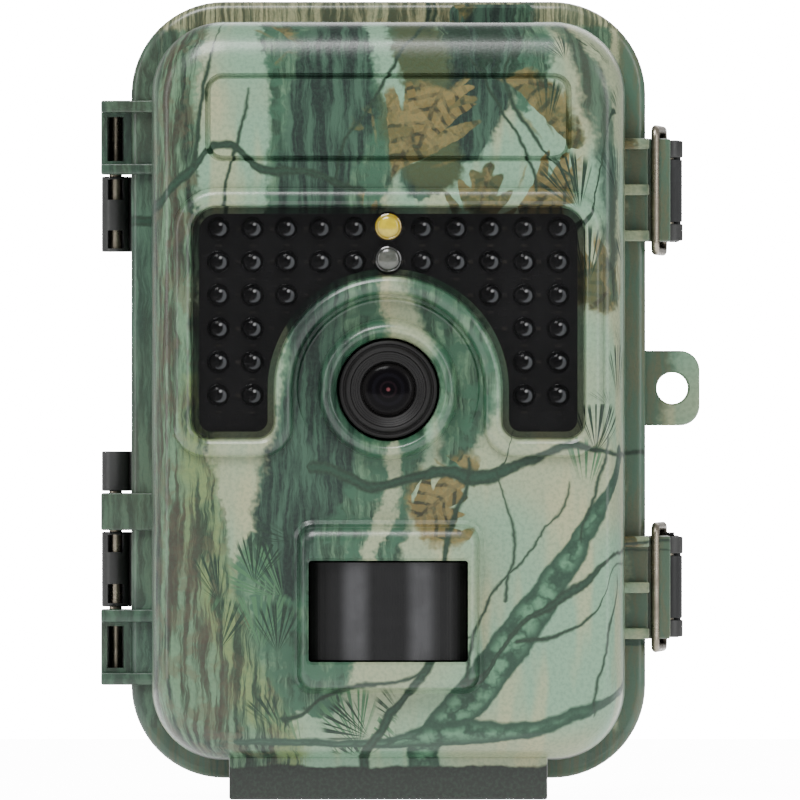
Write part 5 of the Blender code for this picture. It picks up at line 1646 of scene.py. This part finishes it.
def sensor_sheet_look():
    """The motion sensor's milky dark sheet with fine upright grooves, painted shade towards its sides and two
    light upright bands of painted reflection.
    """
    look = Graph("fresnel_plastic")
    x, _, z = look.split(look.objects_place())
    grooves = look.sine(look.times(x, 14.0))
    rows = look.sine(look.times(z, 2.26))
    cloud = look.noise(look.objects_place(), 0.25, 2.0)
    side = look.size(x)
    # Painted shade: darker towards the sides of the sheet
    tone = look.mix(look.ramp(side, 9.0, 13.0), srgb(22, 22, 23), srgb(3, 3, 3))
    # Painted reflection: a light upright band either side of the middle
    band = look.ramp(look.size(look.minus(side, 5.6)), 0.6, 3.2, 0.7, 0.0)
    tone = look.mix(band, tone, srgb(72, 72, 74))
    tone = look.mix(look.ramp(cloud, 0.35, 0.7, 0.0, 0.2), tone, srgb(12, 12, 13))
    look.bump(look.math("MULTIPLY_ADD", rows, 0.2, grooves), 0.00001, 0.3)
    look.set(Specular_IOR_Level=0.2)
    return look.set(Base_Color=tone, Roughness=look.ramp(grooves, -1.0, 1.0, 0.30, 0.38))


def screen_look():
    """The display's cover glass: a black border round a dim blue-grey picture area with fine dots."""
    look = Graph("display_glass")
    x, _, z = look.split(look.objects_place())
    out_x = look.minus(look.size(x), 18.6)
    out_z = look.minus(look.size(look.minus(z, 104.0)), 13.6)
    border = look.ramp(look.math("MAXIMUM", out_x, out_z), -0.15, 0.15)
    dots = look.times(look.sine(look.times(x, 30.0)), look.sine(look.times(z, 30.0)))
    panel = look.mix(look.ramp(dots, -1.0, 1.0, 0.0, 0.4), srgb(38, 44, 52), srgb(26, 31, 38))
    smear = look.noise(look.objects_place(), 0.09, 3.0)
    look.set(Coat_Weight=1.0, Coat_Roughness=0.02)
    tone = look.mix(border, panel, srgb(10, 10, 11))
    return look.set(Base_Color=tone, Roughness=look.ramp(smear, 0.4, 0.7, 0.06, 0.18))


def key_look():
    """Rubber keys with a pale printed mark on the raised part."""
    look = Graph("key_rubber")
    _, y, _ = look.split(look.objects_place())
    fine = look.noise(look.objects_place(), 1.8, 2.0)
    rubber = look.mix(look.ramp(fine, 0.3, 0.7), srgb(50, 52, 54), srgb(70, 72, 74))
    mark = look.mix(look.ramp(fine, 0.3, 0.7), srgb(206, 208, 206), srgb(232, 232, 228))
    look.bump(fine, 0.00004, 0.5)
    tone = look.mix(look.ramp(y, 3.84, 3.88), rubber, mark)
    return look.set(Base_Color=tone, Roughness=look.ramp(fine, 0.3, 0.7, 0.55, 0.7))


def card_look():
    """A dark card with a pale blank label."""
    look = Graph("card_plastic")
    x, y, z = look.split(look.objects_place())
    fine = look.noise(look.objects_place(), 1.6, 2.0)
    body = look.mix(look.ramp(fine, 0.3, 0.7), srgb(30, 34, 42), srgb(44, 48, 58))
    inside_x = look.ramp(look.size(look.minus(x, CARD_X)), 9.85, 9.9, 1.0, 0.0)
    inside_z = look.ramp(look.size(look.minus(z, 29.5)), 9.35, 9.4, 1.0, 0.0)
    label = look.times(look.times(inside_x, inside_z), look.ramp(y, -1.2, -1.1))
    look.bump(fine, 0.00004, 0.4)
    tone = look.mix(label, body, srgb(206, 208, 204))
    return look.set(Base_Color=tone, Roughness=look.ramp(fine, 0.3, 0.7, 0.36, 0.5))


def cell_look(low, up):
    """A cell's printed sleeve: dark, with a pale band near its plus pole, and bare metal at both ends."""
    look = Graph(f"cell_sleeve_{'up' if up else 'down'}_{int(low)}")
    _, _, z = look.split(look.objects_place())
    if up:
        along = look.minus(z, low)
    else:
        along = look.minus(low + CELL_LENGTH, z)
    fine = look.noise(look.objects_place(), 1.4, 2.0)
    tone = look.mix(look.ramp(fine, 0.3, 0.7), srgb(34, 52, 46), srgb(44, 64, 56))
    band = look.times(look.ramp(along, 38.9, 39.1), look.ramp(along, 47.9, 48.1, 1.0, 0.0))
    tone = look.mix(band, tone, srgb(196, 190, 160))
    ends = look.math("MAXIMUM", look.ramp(along, 49.0, 49.1), look.ramp(along, 0.55, 0.45))
    tone = look.mix(ends, tone, srgb(200, 200, 200))
    look.bump(fine, 0.00002, 0.3)
    return look.set(Base_Color=tone, Metallic=ends, Roughness=look.ramp(fine, 0.3, 0.7, 0.24, 0.36))


def filter_look():
    """The infrared filter: glossy blue-green glass in which the coating varies a little."""
    look = Graph("filter_glass")
    cloud = look.noise(look.objects_place(), 0.4, 2.0)
    tone = look.mix(look.ramp(cloud, 0.35, 0.65), srgb(92, 150, 158), srgb(126, 176, 170))
    look.set(Coat_Weight=1.0)
    return look.set(Base_Color=tone, Roughness=look.ramp(cloud, 0.3, 0.7, 0.04, 0.1))


def dress(node, material):
    """Gives a CAD node that stays in view its finished material."""
    slots = frame["nodes"][node].data.materials
    slots.clear()
    slots.append(material)


# The whole camera


def build():
    """Makes the materials, puts every piece on its body, and dresses the CAD nodes that stay."""
    black = moulded("black_plastic", srgb(50, 51, 50), srgb(25, 26, 25), 0.44)
    grey = moulded("dark_grey_plastic", srgb(38, 39, 40), srgb(28, 29, 30), 0.46, shine=0.3)
    panel = moulded("panel_plastic", srgb(60, 62, 62), srgb(48, 50, 50), 0.5)
    barrel = moulded("barrel_plastic", srgb(24, 23, 23), srgb(16, 15, 15), 0.5, 1.6, 0.00002, 0.22)
    rubber = moulded("rubber", srgb(40, 40, 40), srgb(26, 26, 26), 0.72, 0.9, 0.00008)
    steel = metal("steel", srgb(158, 150, 134), srgb(104, 98, 86), 0.26)
    nickel = metal("nickel_plate", srgb(208, 206, 198), srgb(160, 158, 150), 0.26, (4.0, 0.7, 0.7))
    brass = metal("brass", srgb(214, 178, 104), srgb(150, 116, 62), 0.3, (0.7, 0.7, 4.0))
    green_board = board("circuit_board", srgb(18, 62, 38), srgb(40, 104, 66))
    front_shell(woodland_print())
    rear_shell(black)
    gasket(rubber)
    smoked_window(smoked_glass())
    chips = moulded("chip_plastic", srgb(64, 60, 52), srgb(40, 38, 34), 0.5)
    led_domes(led_lens(), board("led_board_mask", srgb(12, 12, 13), srgb(24, 24, 24)), chips)
    yellow = indicator_look("yellow_indicator", srgb(176, 156, 12), srgb(124, 104, 8), STATUS_Z, 0.05)
    clear = indicator_look("clear_dome", srgb(72, 74, 68), srgb(16, 17, 16), SENSOR_Z, 0.03)
    indicator("status_dome", "status_led", STATUS_Z, yellow)
    indicator("light_sensor_dome", "light_sensor", SENSOR_Z, clear)
    lens(barrel, lens_glass_look())
    motion_lens(sensor_sheet_look())
    inner_panel(panel)
    screen(screen_look())
    keys(key_look())
    switch_knob(grey)
    memory_card(card_look())
    panel_screws(steel)
    battery_tray(panel)
    cells({(low, up): cell_look(low, up) for low in CELL_LOWS for up in (True, False)})
    contacts(nickel)
    fittings(brass, rubber, steel)
    latches(grey, steel)
    for node, material in (
        ("lens_holder", panel),
        ("image_sensor_board", green_board),
        ("ir_cut_filter", filter_look()),
        ("pir_sensor", nickel),
        ("pir_board", green_board),
        ("main_board", green_board),
        ("lcd_module", nickel),
        ("sd_socket", nickel),
        ("microphone", nickel),
        ("dc_jack", panel),
    ):
        dress(node, material)


# Studio: pale floor, white surround, soft lights and the camera


def area_light(name, place, target, size, power, height=None):
    """A soft rectangular light aimed at a point, in metres."""
    lamp = bpy.data.lights.new(name, "AREA")
    lamp.shape = "RECTANGLE"
    lamp.size = size
    lamp.size_y = height or size
    lamp.energy = power
    light = bpy.data.objects.new(name, lamp)
    light.location = place
    light.rotation_euler = (Vector(target) - Vector(place)).to_track_quat("-Z", "Y").to_euler()
    bpy.context.scene.collection.objects.link(light)


def studio():
    """Four soft lights and a white surround that the camera sees brighter than it lights."""
    centre = (0.0, 0.0, 0.07)
    area_light("key_light", (-0.35, -1.0, 1.35), centre, 0.7, KEY_POWER)
    area_light("fill_light", (1.1, -0.9, 0.45), centre, 0.5, FILL_POWER, 1.0)
    area_light("rim_light", (0.3, 1.2, 0.9), centre, 1.0, RIM_POWER)
    area_light("side_light", (-1.2, -0.45, 0.3), centre, 0.25, SIDE_POWER, 1.2)
    world = bpy.data.worlds.new("white_surround")
    world.use_nodes = True
    tree = world.node_tree
    path = tree.nodes.new("ShaderNodeLightPath")
    mix = tree.nodes.new("ShaderNodeMixShader")
    tree.links.new(path.outputs["Is Camera Ray"], mix.inputs["Fac"])
    soft = tree.nodes["Background"]
    seen = tree.nodes.new("ShaderNodeBackground")
    for slot, (node, strength) in enumerate(((soft, SURROUND_LIGHT), (seen, SURROUND_SEEN)), start=1):
        node.inputs["Color"].default_value = (1.0, 1.0, 1.0, 1.0)
        node.inputs["Strength"].default_value = strength
        tree.links.new(node.outputs[0], mix.inputs[slot])
    tree.links.new(mix.outputs[0], tree.nodes["World Output"].inputs["Surface"])
    bpy.context.scene.world = world


def floor():
    """A wide pale disc, thin at its rim, with a faint paper grain."""
    look = Graph("studio_paper")
    grain = look.noise(look.objects_place(), 0.4, 3.0)
    look.bump(grain, 0.0002, 0.1)
    path = look.tree.nodes.new("ShaderNodeLightPath")
    glow = look.math("MULTIPLY_ADD", path.outputs["Is Camera Ray"], FLOOR_SEEN, FLOOR_GLOW)
    paper = look.mix(look.ramp(grain, 0.3, 0.7), srgb(246, 246, 246), srgb(250, 250, 250))
    look.set(Base_Color=paper, Roughness=0.85, Emission_Color=(1.0, 1.0, 1.0), Emission_Strength=glow)
    inner = FLOOR_RADIUS - 3.0
    profile = [(0.0, -6.0), (inner, -6.0), (FLOOR_RADIUS, -3.0), (inner, 0.0), (0.0, 0.0)]
    shape = turned(profile, (0.0, 0.0, -0.02), (0, 0, 1), 96)
    mesh = bpy.data.meshes.new("studio_floor")
    shape.to_mesh(mesh)
    shape.free()
    mesh.materials.append(look.material)
    ground = bpy.data.objects.new("studio_floor", mesh)
    bpy.context.scene.collection.objects.link(ground)


def camera():
    """A long lens square to the front, as far off as makes the depth look nearly flat."""
    lens = bpy.data.cameras.new("camera")
    lens.sensor_width = 36.0
    lens.lens = lens.sensor_width * CAMERA_DISTANCE / VIEW_WIDTH
    lens.clip_end = 20.0
    view = bpy.data.objects.new("camera", lens)
    view.location = (VIEW_X, -CAMERA_DISTANCE, VIEW_Z)
    view.rotation_euler = (math.pi / 2, 0.0, 0.0)
    bpy.context.scene.collection.objects.link(view)
    bpy.context.scene.camera = view


build()
studio()
floor()
camera()
